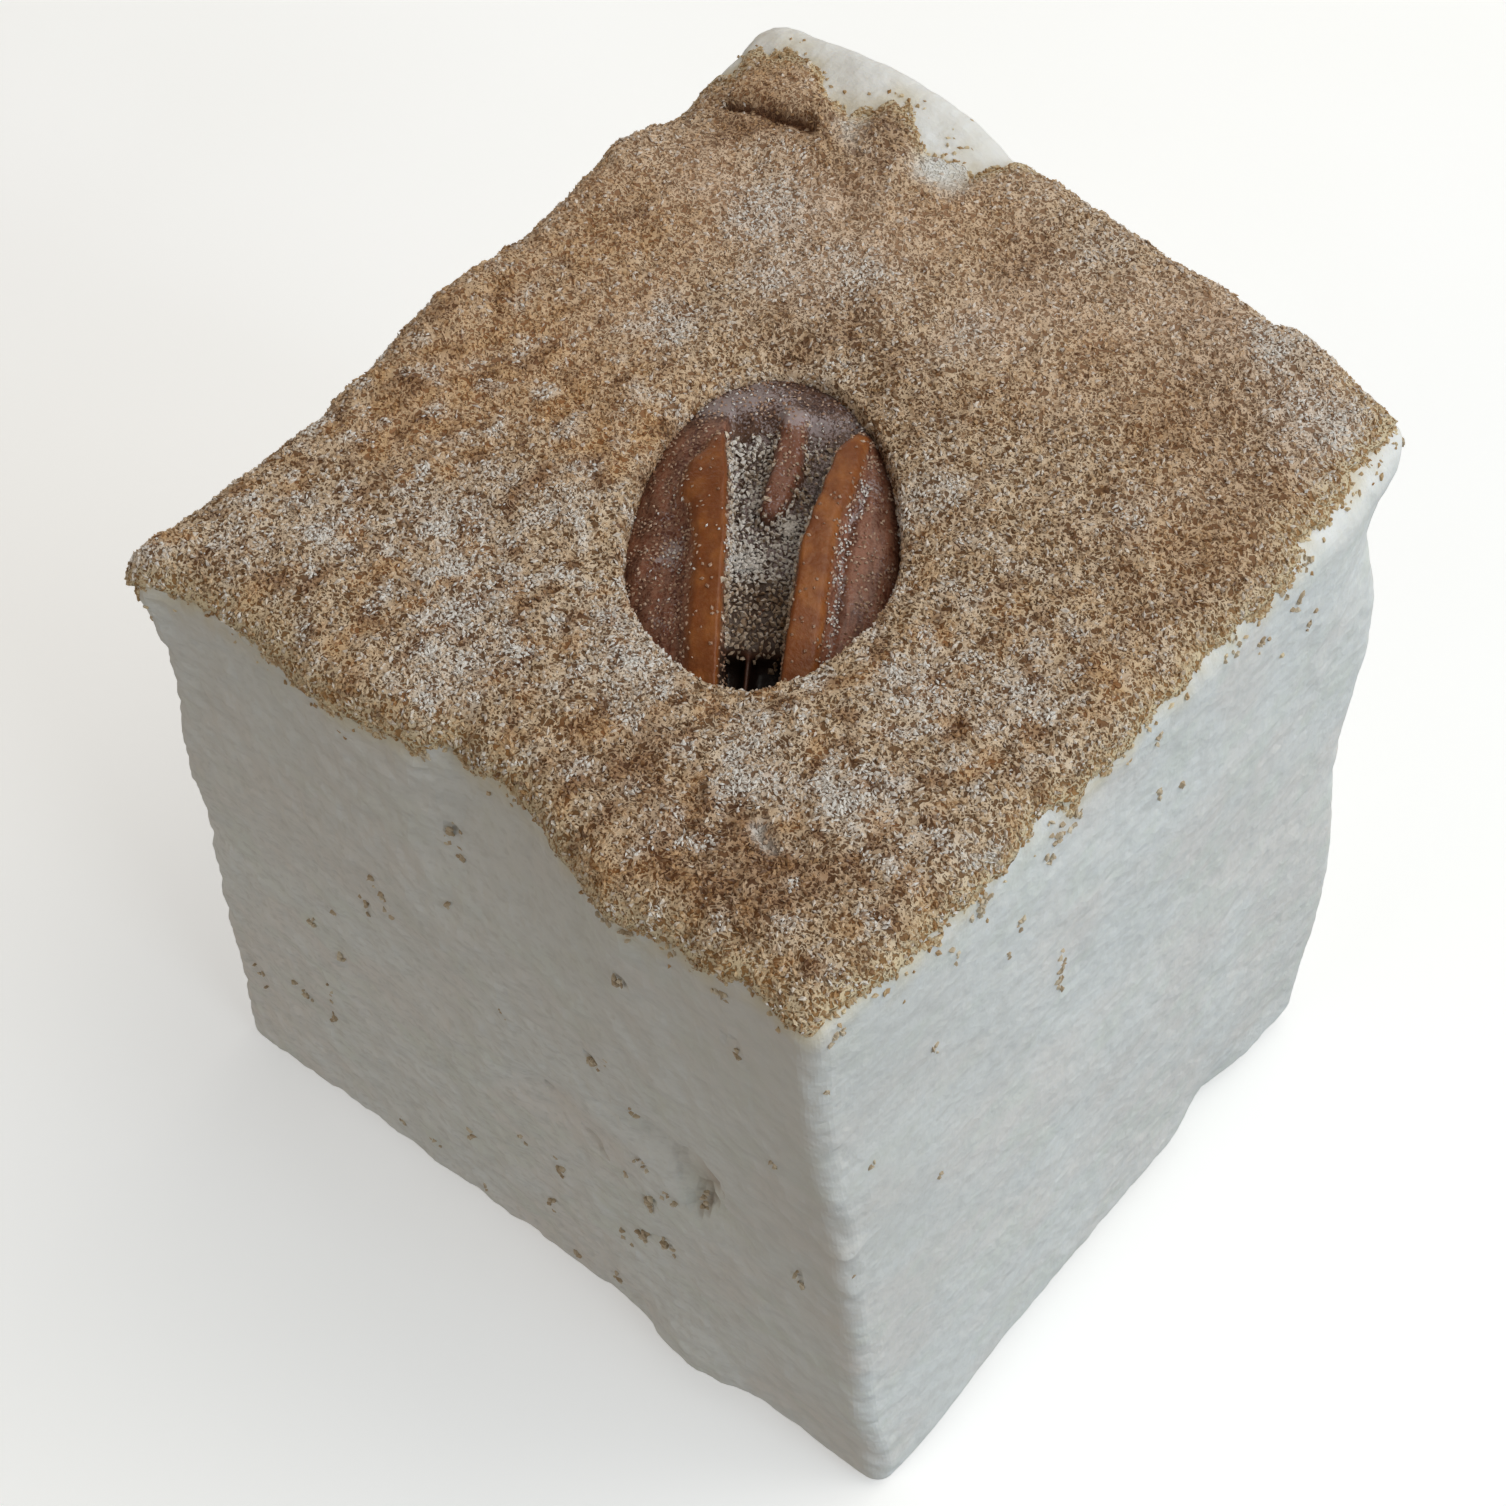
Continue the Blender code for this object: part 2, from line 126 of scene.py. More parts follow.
def noise_at(points, size=1.0, shift=(0.0, 0.0, 0.0)):
    """Soft noise, about -1 to 1, with waves of this size."""
    return np.array([noise.noise(place) for place in (points / size + np.asarray(shift)).tolist()])


def along(table, place):
    """Reads a table (in millimetres) at places along an edge, with a soft step from row to row."""
    stops, drops = np.array(table, float).T * MM
    row = np.clip(np.searchsorted(stops, place) - 1, 0, len(stops) - 2)
    share = smooth((place - stops[row]) / (stops[row + 1] - stops[row]))
    return drops[row] + (drops[row + 1] - drops[row]) * share


# %% From the true box to the cut block
def settle(points):
    """Carries points of the true box onto the block as it was cut."""
    share = points / BOX + (0.5, 0.5, 0.0)
    place = np.zeros_like(points)
    for which, corner in CORNERS.items():
        weight = np.prod([share[:, a] if high else 1.0 - share[:, a] for a, high in enumerate(which)], axis=0)
        place += np.outer(weight, corner)
    for middle, reach, push in SWELLS:
        place += np.outer(bell(distance(points, middle), reach), push)
    for middle, reach, depth in DENTS:
        place[:, 1] += depth * bell(distance(points, middle), reach)
    near_front_top = smooth((points[:, 2] - 0.038) / 0.016) * smooth((-points[:, 1] - 0.004) / 0.018)
    place[:, 1] += along(FRONT_EDGE_IN, points[:, 0]) * near_front_top
    wave = np.column_stack([noise_at(points, WAVE_LENGTH, shift) for shift in WAVE_SHIFTS]) * WAVE_HEIGHT
    above_base = smooth(points[:, 2] / FLAT_BASE)
    upper_half = smooth(points[:, 2] / HEIGHT * 2 - 1)
    return place + wave * np.column_stack([above_base, above_base, upper_half]) + CENTRING


def edge_radius(points):
    """The top front edge and the upright front edge, where +X meets -Y, are crisper than the others."""
    x, y, z = points.T
    to_front = smooth((-y / DEPTH * 2 - 0.6) / 0.3)
    to_right = smooth((x / WIDTH * 2 - 0.6) / 0.3)
    to_top = smooth((z / BODY_TOP - 0.7) / 0.2) * smooth((1.0 + x / WIDTH * 2) / 0.2)
    return (EDGE_ROUND + (FRONT_ROUND - EDGE_ROUND) * to_front * np.maximum(to_top, to_right))[:, None]


def rounded(points, stand=0.0):
    """Rounds the sharp edges of the true box, and moves the points out by stand."""
    sides = np.array([WIDTH, DEPTH, BODY_TOP]) / 2
    middle = np.array([0.0, 0.0, BODY_TOP / 2])
    radius = edge_radius(points)
    core = np.clip(points - middle, radius - sides, sides - radius)
    out = points - middle - core
    out /= np.linalg.norm(out, axis=1, keepdims=True)
    return middle + core + out * (radius + stand)


# %% [markdown]
# The sugar's margin and the pecan's place.
# Where the sugar stops is as much a part of the shape as the block itself. It hangs a little over the front edge in
# tongues, stops short at the back where a bare patch shows, and it parts round the nut. A picture mask could say
# where it is. A short table for each top edge is easier to read and to change: it says how far the sugar runs
# past the edge.

# %% Where the sugar stops, and where the nut lies
# Place along the edge and drop past it, in millimetres; a minus stops it short
SKIRT_FRONT = ((-25, 0.4), (-21, 0.4), (-15.5, 0.5), (-9.5, 0.7), (-6, 0.8), (-1, 0.4), (4, 0.7), (8, 0.7),
               (11.5, 0.9), (14, 0.5), (18, 0.5), (25, -0.2))
SKIRT_RIGHT = ((-25, -0.4), (-19, 0.2), (-15, 0.6), (-11.5, 1.1), (-8.4, 0.1), (-3.5, 1.1), (2, 0.3),
               (5, -0.1), (10.5, 0.4), (14.5, -0.8), (17.5, -1.4), (22.5, -1.8), (25, -1.2))
SKIRT_BACK = ((-25, -3.2), (-22.5, -3.6), (-19.5, -5.2), (-17.5, -5.4), (-14.5, -3.3), (-11, -4.4), (-7, -3.8),
              (-4, -0.8), (0, 1.2), (8, 2.0), (16, 1.0), (25, -1.2))
SKIRT_LEFT = ((-25, 0.4), (-18, 1.4), (-8, 0.9), (0, 1.6), (9, 1.0), (14, 1.6), (18, 0.4), (21, -1.2),
              (25, -3.2))
RAGGED, FINELY_RAGGED = 0.0007, 0.00035
SKIRT_STARTS = 0.66
CRACK = ((-0.0213, 0.0169), (-0.0152, 0.0177))
NUT_LENGTH, NUT_WIDTH = 0.0254, 0.0150
NUT_BELLY, NUT_DOME = 0.0044, 0.0026
NEAR_TAPER, NEAR_SLOPE = 0.20, 0.45
MOUTH_NEAR_END = -0.71
MOUTH_INSET = 0.0001
nut_frame = (Matrix.Translation((0.0024 + CENTRING[0], -0.0040 + CENTRING[1], 0.0519))
             @ Matrix.Rotation(math.radians(125.8), 4, "Z") @ Matrix.Rotation(math.radians(-6.0), 4, "Y"))


def skirt(edge):
    """How far past the top edge the sugar runs, at points of the edge."""
    on_side = np.abs(edge[:, 0]) / WIDTH > np.abs(edge[:, 1]) / DEPTH
    across = np.where(edge[:, 0] > 0, along(SKIRT_RIGHT, edge[:, 1]), along(SKIRT_LEFT, edge[:, 1]))
    lengthwise = np.where(edge[:, 1] > 0, along(SKIRT_BACK, edge[:, 0]), along(SKIRT_FRONT, edge[:, 0]))
    ragged = RAGGED * noise_at(edge, 0.0021) + FINELY_RAGGED * noise_at(edge, 0.0007)
    return np.where(on_side, across, lengthwise) + ragged


def top_edge(points):
    """The point of the true box's top edge that each point belongs to, and how square its place is, 0 to 1."""
    x, y = points[:, 0] / WIDTH * 2, points[:, 1] / DEPTH * 2
    square = np.maximum(np.maximum(np.abs(x), np.abs(y)), 1e-9)
    return np.column_stack([x / square * WIDTH / 2, y / square * DEPTH / 2, np.full(len(x), BODY_TOP)]), square


def from_crack(points):
    """The distance from the line of the crack, seen from above."""
    start, end = np.array(CRACK)
    run = end - start
    share = np.clip((points[:, :2] - start) @ run / (run @ run), 0.0, 1.0)
    return np.linalg.norm(points[:, :2] - start - np.outer(share, run), axis=1)


def nut_taper(x):
    """The near end of the nut is narrower than the far end."""
    return 1.0 - NEAR_TAPER * smooth(-x)


def from_mouth(points):
    """How far settled points are outside the mouth that the nut looks out of, seen from above."""
    turn = np.array(nut_frame.inverted())
    local = points @ turn[:3, :3].T + turn[:3, 3]
    x, y = local[:, 0] / (NUT_LENGTH / 2), local[:, 1] / (NUT_WIDTH / 2)
    taper = nut_taper(x)
    x = np.where(x < 0, x / -MOUTH_NEAR_END, x)
    return (np.hypot(x, y / taper) - 1.0) * NUT_WIDTH / 2 + MOUTH_INSET


print(f"nut {NUT_LENGTH / MM:.1f} x {NUT_WIDTH / MM:.1f} mm, its middle {nut_frame.translation.z / MM:.1f} mm up")


# %% [markdown]
# Helpers for meshes and nodes.
# The pieces are made in three ways: as arrays of points, as node trees that work on them, and as materials. A few
# small helpers keep each of those readable. The node helper takes the sockets of other nodes as inputs, so a tree
# reads like a formula. A finished tree is turned into a plain mesh at once, because only plain meshes can be handed
# on to other programs.

# %% Mesh helpers
def add_piece(name, mesh):
    piece = bpy.data.objects.new(name, mesh)
    scene.collection.objects.link(piece)
    return piece


def new_mesh(name, points, faces):
    mesh = bpy.data.meshes.new(name)
    mesh.from_pydata(points.tolist(), [], faces)
    mesh.update()
    mesh.shade_smooth()
    return mesh


def read_points(mesh):
    points = np.empty(len(mesh.vertices) * 3, np.float32)
    mesh.vertices.foreach_get("co", points)
    return points.reshape(-1, 3).astype(float)


def write_points(mesh, points):
    mesh.vertices.foreach_set("co", points.astype(np.float32).ravel())
    mesh.update()


def store(mesh, label, values):
    """Keeps one number for each point, for the node trees and the materials to read."""
    mesh.attributes.new(label, "FLOAT", "POINT").data.foreach_set("value", values.astype(np.float32))


def store_vectors(mesh, label, values):
    """The same for a direction or a place."""
    layer = mesh.attributes.new(label, "FLOAT_VECTOR", "POINT")
    layer.data.foreach_set("vector", values.astype(np.float32).ravel())


def in_fixed_order(name, rough):
    """The same mesh, its faces sorted. The tool that makes a ball lists them in another order in each run, and the
    grains that are strewn over it would follow."""
    faces = []
    for face in rough.polygons:
        around = list(face.vertices)
        first = around.index(min(around))
        faces.append(tuple(around[first:] + around[:first]))
    return new_mesh(name, read_points(rough), sorted(faces))


def triangles(mesh):
    return sum(len(face.vertices) - 2 for face in mesh.polygons)


# %% Node helpers
def add_node(tree, kind, inputs=None, **options):
    """Adds a node, sets its options, and fills its sockets with values or with other nodes' outputs."""
    node = tree.nodes.new(kind)
    for option, value in options.items():
        setattr(node, option, value)
    for which, value in (inputs or {}).items():
        socket = node.inputs[which]
        if isinstance(value, bpy.types.NodeSocket):
            tree.links.new(value, socket)
        elif socket.type == "RGBA":
            socket.default_value = (*value, 1.0)
        else:
            socket.default_value = value
    return node


def calculate(tree, operation, *values):
    return add_node(tree, "ShaderNodeMath", dict(enumerate(values)), operation=operation).outputs[0]


def vector_step(tree, operation, *values):
    return add_node(tree, "ShaderNodeVectorMath", dict(enumerate(values)), operation=operation).outputs[0]


def stretch(tree, vector, factor):
    """A vector times a number, or times a number for each axis."""
    if isinstance(factor, tuple):
        return vector_step(tree, "MULTIPLY", vector, factor)
    return add_node(tree, "ShaderNodeVectorMath", {0: vector, 3: factor}, operation="SCALE").outputs[0]


def soft_step(tree, value, low, high, at_low=0.0, at_high=1.0):
    """at_low below low, at_high above high, and a soft step between."""
    node = add_node(tree, "ShaderNodeMapRange", {0: value, 1: low, 2: high, 3: at_low, 4: at_high},
                    interpolation_type="SMOOTHSTEP")
    return node.outputs[0]


def cloud(tree, place, size, detail=2.0, rough=0.5):
    """Cloudy noise, about 0 to 1, with blobs of this size."""
    return add_node(tree, "ShaderNodeTexNoise", {"Vector": place, "Scale": 1.0 / size, "Detail": detail,
                                                 "Roughness": rough}).outputs["Fac"]


def new_tree(name, inputs):
    """A Geometry Nodes tree with its mesh socket and these named inputs: label, kind of socket, value."""
    tree = bpy.data.node_groups.new(name, "GeometryNodeTree")
    tree.is_modifier = True
    tree.interface.new_socket("Geometry", in_out="OUTPUT", socket_type="NodeSocketGeometry")
    tree.interface.new_socket("Geometry", in_out="INPUT", socket_type="NodeSocketGeometry")
    for label, kind, value in inputs:
        socket = tree.interface.new_socket(label, in_out="INPUT", socket_type="NodeSocket" + kind)
        if value is not None:
            socket.default_value = value
    return tree, add_node(tree, "NodeGroupInput").outputs


def run_tree(name, source, tree, **values):
    """Runs a tree on an object and gives a new piece: a plain mesh, with no modifier left on either."""
    modifier = source.modifiers.new(tree.name, "NODES")
    modifier.node_group = tree
    for socket in tree.interface.items_tree:
        label = socket.name.lower().replace(" ", "_")
        if socket.in_out == "INPUT" and label in values:
            modifier[socket.identifier] = values[label]
    graph = bpy.context.evaluated_depsgraph_get()
    result = source.evaluated_get(graph)
    mesh = bpy.data.meshes.new_from_object(result, preserve_all_data_layers=True, depsgraph=graph)
    source.modifiers.remove(modifier)
    mesh.name = name
    piece = add_piece(name, mesh)
    print(f"{name}: {triangles(mesh)} triangles")
    return piece


def hand_over(piece, node):
    """Every piece moves with the block and stands for its solid."""
    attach(piece, "root")
    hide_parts(node)


# %% Material helpers
def new_finish(name, fixed):
    """A material with these plain values on its shader."""
    material = bpy.data.materials.new(name)
    material.use_nodes = True
    shader = material.node_tree.nodes["Principled BSDF"]
    for label, value in fixed.items():
        shader.inputs[label].default_value = value
    return material, material.node_tree, shader


def paint(tree, share, under, over):
    """One colour over another, by share."""
    return add_node(tree, "ShaderNodeMix", {0: share, 6: under, 7: over}, data_type="RGBA").outputs[2]


def kept(tree, label):
    """A number that the mesh keeps for each point."""
    return add_node(tree, "ShaderNodeAttribute", attribute_name=label).outputs["Fac"]


def place_group(tree, group, **values):
    node = add_node(tree, "ShaderNodeGroup", node_tree=group)
    for label, value in values.items():
        socket = node.inputs[label.capitalize()]
        if isinstance(value, bpy.types.NodeSocket):
            tree.links.new(value, socket)
        else:
            socket.default_value = value
    return node.outputs[0]


def roughen(tree, shader, height, depth, strength=1.0):
    """Turns a height into the surface's normal."""
    bump = add_node(tree, "ShaderNodeBump", {"Height": height, "Distance": depth, "Strength": strength})
    tree.links.new(bump.outputs[0], shader.inputs["Normal"])


# %% [markdown]
# Effects that several finishes share.
# Powder lies on whatever faces up, on the sugar, on single grains and on the nut, and in patches. Fine grit breaks
# up the light on foam, sugar and nut alike. The sugar's colour changes from zone to zone, and a grain has to agree
# with the bed that it lies on. Each of these is a shader group, built once and placed in every material that needs
# it, so that the same dust or the same sugar really looks the same everywhere.

# %% The powder and grit groups
def new_group(name, inputs, outputs, kind="Float"):
    tree = bpy.data.node_groups.new(name, "ShaderNodeTree")
    for label, value in inputs:
        tree.interface.new_socket(label, in_out="INPUT", socket_type="NodeSocketFloat").default_value = value
    for label in outputs:
        tree.interface.new_socket(label, in_out="OUTPUT", socket_type="NodeSocket" + kind)
    return tree, add_node(tree, "NodeGroupInput").outputs


def powder_group():
    """How much powder lies here: on what faces up, in ragged patches."""
    tree, given = new_group("lying_powder", (("Amount", 0.5), ("Speck", 0.00018)), ("Powder",))
    coordinates = add_node(tree, "ShaderNodeTexCoord").outputs
    facing = add_node(tree, "ShaderNodeSeparateXYZ", {0: coordinates["Normal"]}).outputs["Z"]
    speck_scale = calculate(tree, "DIVIDE", 1.0, given["Speck"])
    specks = add_node(tree, "ShaderNodeTexNoise", {"Vector": coordinates["Object"], "Scale": speck_scale,
                                                   "Detail": 3.0, "Roughness": 0.65}).outputs["Fac"]
    patches = cloud(tree, coordinates["Object"], 0.0018)
    upward = soft_step(tree, facing, -0.25, 0.85)
    wanted = calculate(tree, "MULTIPLY", calculate(tree, "MULTIPLY", given["Amount"], upward),
                       soft_step(tree, patches, 0.2, 0.8, 0.55, 1.35))
    level = calculate(tree, "ADD", calculate(tree, "SUBTRACT", specks, 0.75),
                      calculate(tree, "MULTIPLY", wanted, 0.5))
    powder = soft_step(tree, level, -0.05, 0.08)
    add_node(tree, "NodeGroupOutput", {"Powder": powder})
    return tree


def grit_group():
    """A fine, gritty height for a Bump node: coarse grit and finer grit on it."""
    tree, given = new_group("fine_grit", (("Size", 0.0004), ("Sharpness", 0.6)), ("Height",))
    place = add_node(tree, "ShaderNodeTexCoord").outputs["Object"]
    scale = calculate(tree, "DIVIDE", 1.0, given["Size"])
    height = add_node(tree, "ShaderNodeTexNoise", {"Vector": place, "Scale": scale, "Detail": 4.0,
                                                   "Roughness": given["Sharpness"]}).outputs["Fac"]
    add_node(tree, "NodeGroupOutput", {"Height": height})
    return tree


def net_group():
    """Packed crumbs seen from above: 1 on the thin pale strands that they join up to, 0 in the gaps between."""
    tree, given = new_group("crumb_net", (("Size", 0.00042), ("Width", 0.045)), ("Net",))
    place = add_node(tree, "ShaderNodeTexCoord").outputs["Object"]
    scale = calculate(tree, "DIVIDE", 1.0, given["Size"])

    def strands(shift):
        moved = vector_step(tree, "ADD", place, (0, 0, shift))
        wave = add_node(tree, "ShaderNodeTexNoise", {"Vector": moved, "Scale": scale, "Detail": 2.0,
                                                     "Roughness": 0.6}).outputs["Fac"]
        from_middle = calculate(tree, "ABSOLUTE", calculate(tree, "SUBTRACT", wave, 0.5))
        return soft_step(tree, calculate(tree, "DIVIDE", from_middle, given["Width"]), 0.35, 1.25, 1.0, 0.0)

    net = calculate(tree, "MAXIMUM", strands(0.0), strands(0.05))
    add_node(tree, "NodeGroupOutput", {"Net": net})
    return tree


lying_powder, fine_grit, crumb_net = powder_group(), grit_group(), net_group()
print("shader groups:", lying_powder.name, fine_grit.name, crumb_net.name)

# %% The sugar's colours, zone by zone
# Zone, how far it takes over, the colour of its crumbs and the colour of the pits between them
SUGAR_ZONES = (
    ("caked", 0.88, (0.800, 0.590, 0.440), (0.590, 0.375, 0.240)),
    ("toasted", 0.85, (0.640, 0.405, 0.205), (0.310, 0.125, 0.036)),
    ("powder", 0.82, (0.810, 0.745, 0.685), (0.240, 0.150, 0.098)),
    ("dark", 0.88, (0.350, 0.190, 0.095), (0.085, 0.029, 0.008)),
    ("thin", 0.80, (0.690, 0.570, 0.370), (0.370, 0.200, 0.070)),
    # Painted shade: the crack is painted dark brown, as the shade in it
    ("crack", 1.00, (0.130, 0.050, 0.018), (0.080, 0.028, 0.010)),
    ("bare", 1.00, (0.860, 0.845, 0.815), (0.780, 0.740, 0.670)),
)


def zone_group():
    """The colour of crumbs and of pits at each place, from the numbers that the bed keeps."""
    tree = new_group("sugar_by_zone", (), ("Crumb", "Pit"), "Color")[0]
    place = add_node(tree, "ShaderNodeTexCoord").outputs["Object"]
    patches = soft_step(tree, cloud(tree, place, 0.0006, 2.0), 0.35, 0.65)
    crumb = paint(tree, patches, (0.630, 0.462, 0.298), (0.735, 0.575, 0.415))
    pit = paint(tree, cloud(tree, place, 0.0009), (0.110, 0.050, 0.018), (0.225, 0.118, 0.048))
    for zone, share, crumb_colour, pit_colour in SUGAR_ZONES:
        strength = calculate(tree, "MULTIPLY", kept(tree, zone), share)
        crumb = paint(tree, strength, crumb, crumb_colour)
        pit = paint(tree, strength, pit, pit_colour)
    add_node(tree, "NodeGroupOutput", {"Crumb": crumb, "Pit": pit})
    return tree


sugar_by_zone = zone_group()
print("shader group:", sugar_by_zone.name)


# %% [markdown]
# The white block.
# Marshmallow is sugar foam that was poured, set and dusted. A knife leaves its faces soft and slightly dragged: low
# lumps like cottage cheese, shallow wrinkles that run level, a few torn places where foam stuck to the blade. The
# big form and the torn places are moved point by point here, because each has its own place. The lumps and wrinkles
# follow a rule all over the surface, so a Geometry Nodes tree makes them, with their sizes as named inputs.

# %% The block with its torn places
BLOCK_CELLS = 136
EDGE_CROWDING = 0.9
UNDERSIDE = 0.87
# Torn places on the side towards -Y, in millimetres: x, z, half width, half height, turn, depth, deepest towards
TORN_FRONT = (
    (14.2, 28.4, 2.2, 3.7, -16, 1.50, 34),
    (13.9, 24.2, 0.8, 1.5, -20, 1.10, 10),
    (3.9, 24.7, 1.5, 0.7, 8, 0.95, 80),
    (6.6, 23.0, 1.3, 0.6, -25, 0.80, 60),
    (8.4, 28.4, 0.8, 1.4, 10, 0.45, 40),
    (10.2, 25.0, 0.6, 0.7, 0, 0.55, 60),
    (10.5, 20.6, 0.4, 1.3, -15, 0.55, 0),
    (10.4, 15.2, 1.5, 0.6, 18, 0.60, 90),
    (8.2, 34.9, 0.5, 0.7, -20, 0.50, 90),
    (-9.0, 34.6, 0.4, 1.4, -25, 0.40, 0),
    (-2.0, 46.8, 0.6, 0.6, -20, 0.50, 90),
    (21.2, 25.2, 0.3, 1.1, -12, 0.45, 0),
    (11.3, 46.1, 0.7, 0.35, 10, 0.45, 90),
    (19.2, 47.2, 0.8, 0.6, 20, 0.40, 70),
)
# Raised flakes along the upright front edge, in millimetres: height, reach along the edge, push
FLAKES = ((37.6, 1.5, 0.25), (31.6, 0.9, 0.60), (27.5, 1.3, 0.45), (22.0, 1.6, 0.20))


def torn(x, z, mark):
    """The depth of one torn place: crisp and deepest on one side, running out softly on the other."""
    middle_x, middle_z, wide, tall, turn, depth, deepest = mark
    turn, deepest = math.radians(turn), math.radians(deepest)
    across = ((x - middle_x) * math.cos(turn) + (z - middle_z) * math.sin(turn)) / wide
    up = ((z - middle_z) * math.cos(turn) - (x - middle_x) * math.sin(turn)) / tall
    lean = 0.5 + 0.5 * (across * math.cos(deepest) + up * math.sin(deepest))
    return depth * MM * smooth((1.0 - np.hypot(across, up)) / 0.18) * np.clip(lean, 0.0, 1.0)


def cut_block():
    """A cube in fine cells, rounded, torn where the photo shows it, and settled onto a flat base."""
    bm = bmesh.new()
    bmesh.ops.create_cube(bm, size=2.0)
    bmesh.ops.subdivide_edges(bm, edges=bm.edges[:], cuts=BLOCK_CELLS - 1, use_grid_fill=True)
    under = [face for face in bm.faces
             if all(v.co.z < -0.999 and max(abs(v.co.x), abs(v.co.y)) < UNDERSIDE for v in face.verts)]
    bmesh.ops.dissolve_faces(bm, faces=under)
    mesh = bpy.data.meshes.new("marshmallow_block")
    bm.to_mesh(mesh)
    bm.free()
    cube = np.sin(read_points(mesh) * EDGE_CROWDING) / math.sin(EDGE_CROWDING)
    on_box = np.column_stack([cube[:, 0] * WIDTH / 2, cube[:, 1] * DEPTH / 2, (cube[:, 2] + 1) * BODY_TOP / 2])
    points = rounded(on_box)
    front = smooth((-on_box[:, 1] / DEPTH * 2 - 0.9) / 0.1) * smooth((on_box[:, 2] - 0.0005) / 0.002)
    tears = front * sum(torn(on_box[:, 0] / MM, on_box[:, 2] / MM, mark) for mark in TORN_FRONT)
    points[:, 1] += tears
    from_edge = np.hypot(on_box[:, 0] - WIDTH / 2, on_box[:, 1] + DEPTH / 2)
    for height, reach, push in FLAKES:
        lift = push * MM * bell(on_box[:, 2] - height * MM, reach * MM) * bell(from_edge, 0.0016)
        points += np.outer(lift, (0.6, -0.8, 0.0))
    return mesh, on_box, settle(points), tears


block_mesh, block_on_box, block_points, block_tears = cut_block()

# %% The bowl under the nut, and what the block keeps for its finish
BOWL_WALL = 0.0006
BOWL_DEPTH = 0.0062
BLOCK_CLEARANCE = 0.0009


def bowl(points, widened=0.0):
    """How far the surface drops to make room for the nut."""
    inside = widened - from_mouth(points)
    return BOWL_DEPTH * (0.72 * smooth(inside / BOWL_WALL) + 0.28 * smooth(inside / 0.004))


upper = block_on_box[:, 2] > BODY_TOP * 0.98
block_points[upper, 2] -= bowl(block_points[upper], BLOCK_CLEARANCE) * 1.02
write_points(block_mesh, block_points)

edge, square = top_edge(block_on_box)
past_edge = np.where(square < 0.999, -(1.0 - square) * WIDTH / 2, BODY_TOP - block_on_box[:, 2])
below_sugar = past_edge - skirt(edge)
front_side = smooth((-block_on_box[:, 1] / DEPTH * 2 - 0.8) / 0.2)
left_side = smooth((-block_on_box[:, 0] / WIDTH * 2 - 0.8) / 0.2)
near_front_edge = bell(np.hypot(block_on_box[:, 0] - WIDTH / 2, block_on_box[:, 1] + DEPTH / 2), 0.010)
store(block_mesh, "dragged", np.clip(front_side + left_side, 0, 1) * (1.0 - near_front_edge) ** 1.5)
# Painted shade: the deep side of each torn place is painted brown, as the shade that falls into it
store(block_mesh, "painted_tear_shade", smooth((block_tears - 0.0003) / 0.0006))
store(block_mesh, "lumpy", np.clip(0.38 + 0.55 * front_side + 0.55 * left_side - 0.34 * near_front_edge, 0, 1))
store(block_mesh, "flat_base", smooth((block_points[:, 2] - 0.0002) / 0.0015))
store(block_mesh, "syrup", bell(np.maximum(below_sugar, 0.0), 0.0016))
# Painted shade: a duller white in a broad band below the sugar on the front side and along the upright front edge
edge_shade = 0.9 * near_front_edge * smooth((block_on_box[:, 2] - 0.010) / 0.025)
store(block_mesh, "painted_side_shade", np.maximum(bell(np.maximum(below_sugar, 0.0), 0.018) * front_side, edge_shade))
# Painted light: the top of the block is painted a brighter white
store(block_mesh, "painted_top_light", smooth((block_on_box[:, 2] / BODY_TOP - 0.97) / 0.03))
print(f"white block: {len(block_points)} points")


# %% Lumps, wrinkles and pits, by a node tree
def foam_tree():
    tree, given = new_tree("foam_relief", (
        ("Lump Size", "Float", 0.0020), ("Lump Height", "Float", 0.00020),
        ("Curd Size", "Float", 0.0011), ("Curd Height", "Float", 0.00014),
        ("Wrinkle Size", "Float", 0.0008), ("Wrinkle Height", "Float", 0.00007), ("Material", "Material", None)))
    place = add_node(tree, "GeometryNodeInputPosition").outputs[0]

    def rise(vector, size, height, detail):
        texture = add_node(tree, "ShaderNodeTexNoise", {
            "Vector": vector, "Scale": calculate(tree, "DIVIDE", 1.0, size), "Detail": detail})
        return calculate(tree, "MULTIPLY", calculate(tree, "SUBTRACT", texture.outputs["Fac"], 0.5),
                         calculate(tree, "MULTIPLY", height, 3.0))

    def read(label):
        return add_node(tree, "GeometryNodeInputNamedAttribute", {"Name": label}, data_type="FLOAT").outputs[0]

    lumps = calculate(tree, "ADD", rise(place, given["Lump Size"], given["Lump Height"], 1.0),
                      rise(place, given["Curd Size"], given["Curd Height"], 1.0))
    drawn_out = stretch(tree, place, (0.60, 0.60, 1.20))
    wrinkles = rise(drawn_out, given["Wrinkle Size"], given["Wrinkle Height"], 2.0)
    height = calculate(tree, "ADD", calculate(tree, "MULTIPLY", lumps, read("lumpy")),
                       calculate(tree, "MULTIPLY", wrinkles, read("dragged")))
    offset = stretch(tree, add_node(tree, "GeometryNodeInputNormal").outputs[0],
                     calculate(tree, "MULTIPLY", height, read("flat_base")))
    moved = add_node(tree, "GeometryNodeSetPosition", {"Geometry": given["Geometry"], "Offset": offset})
    painted = add_node(tree, "GeometryNodeSetMaterial", {0: moved.outputs[0], "Material": given["Material"]})
    add_node(tree, "NodeGroupOutput", {"Geometry": painted.outputs[0]})
    return tree


foam_relief = foam_tree()
print("tree:", foam_relief.name)
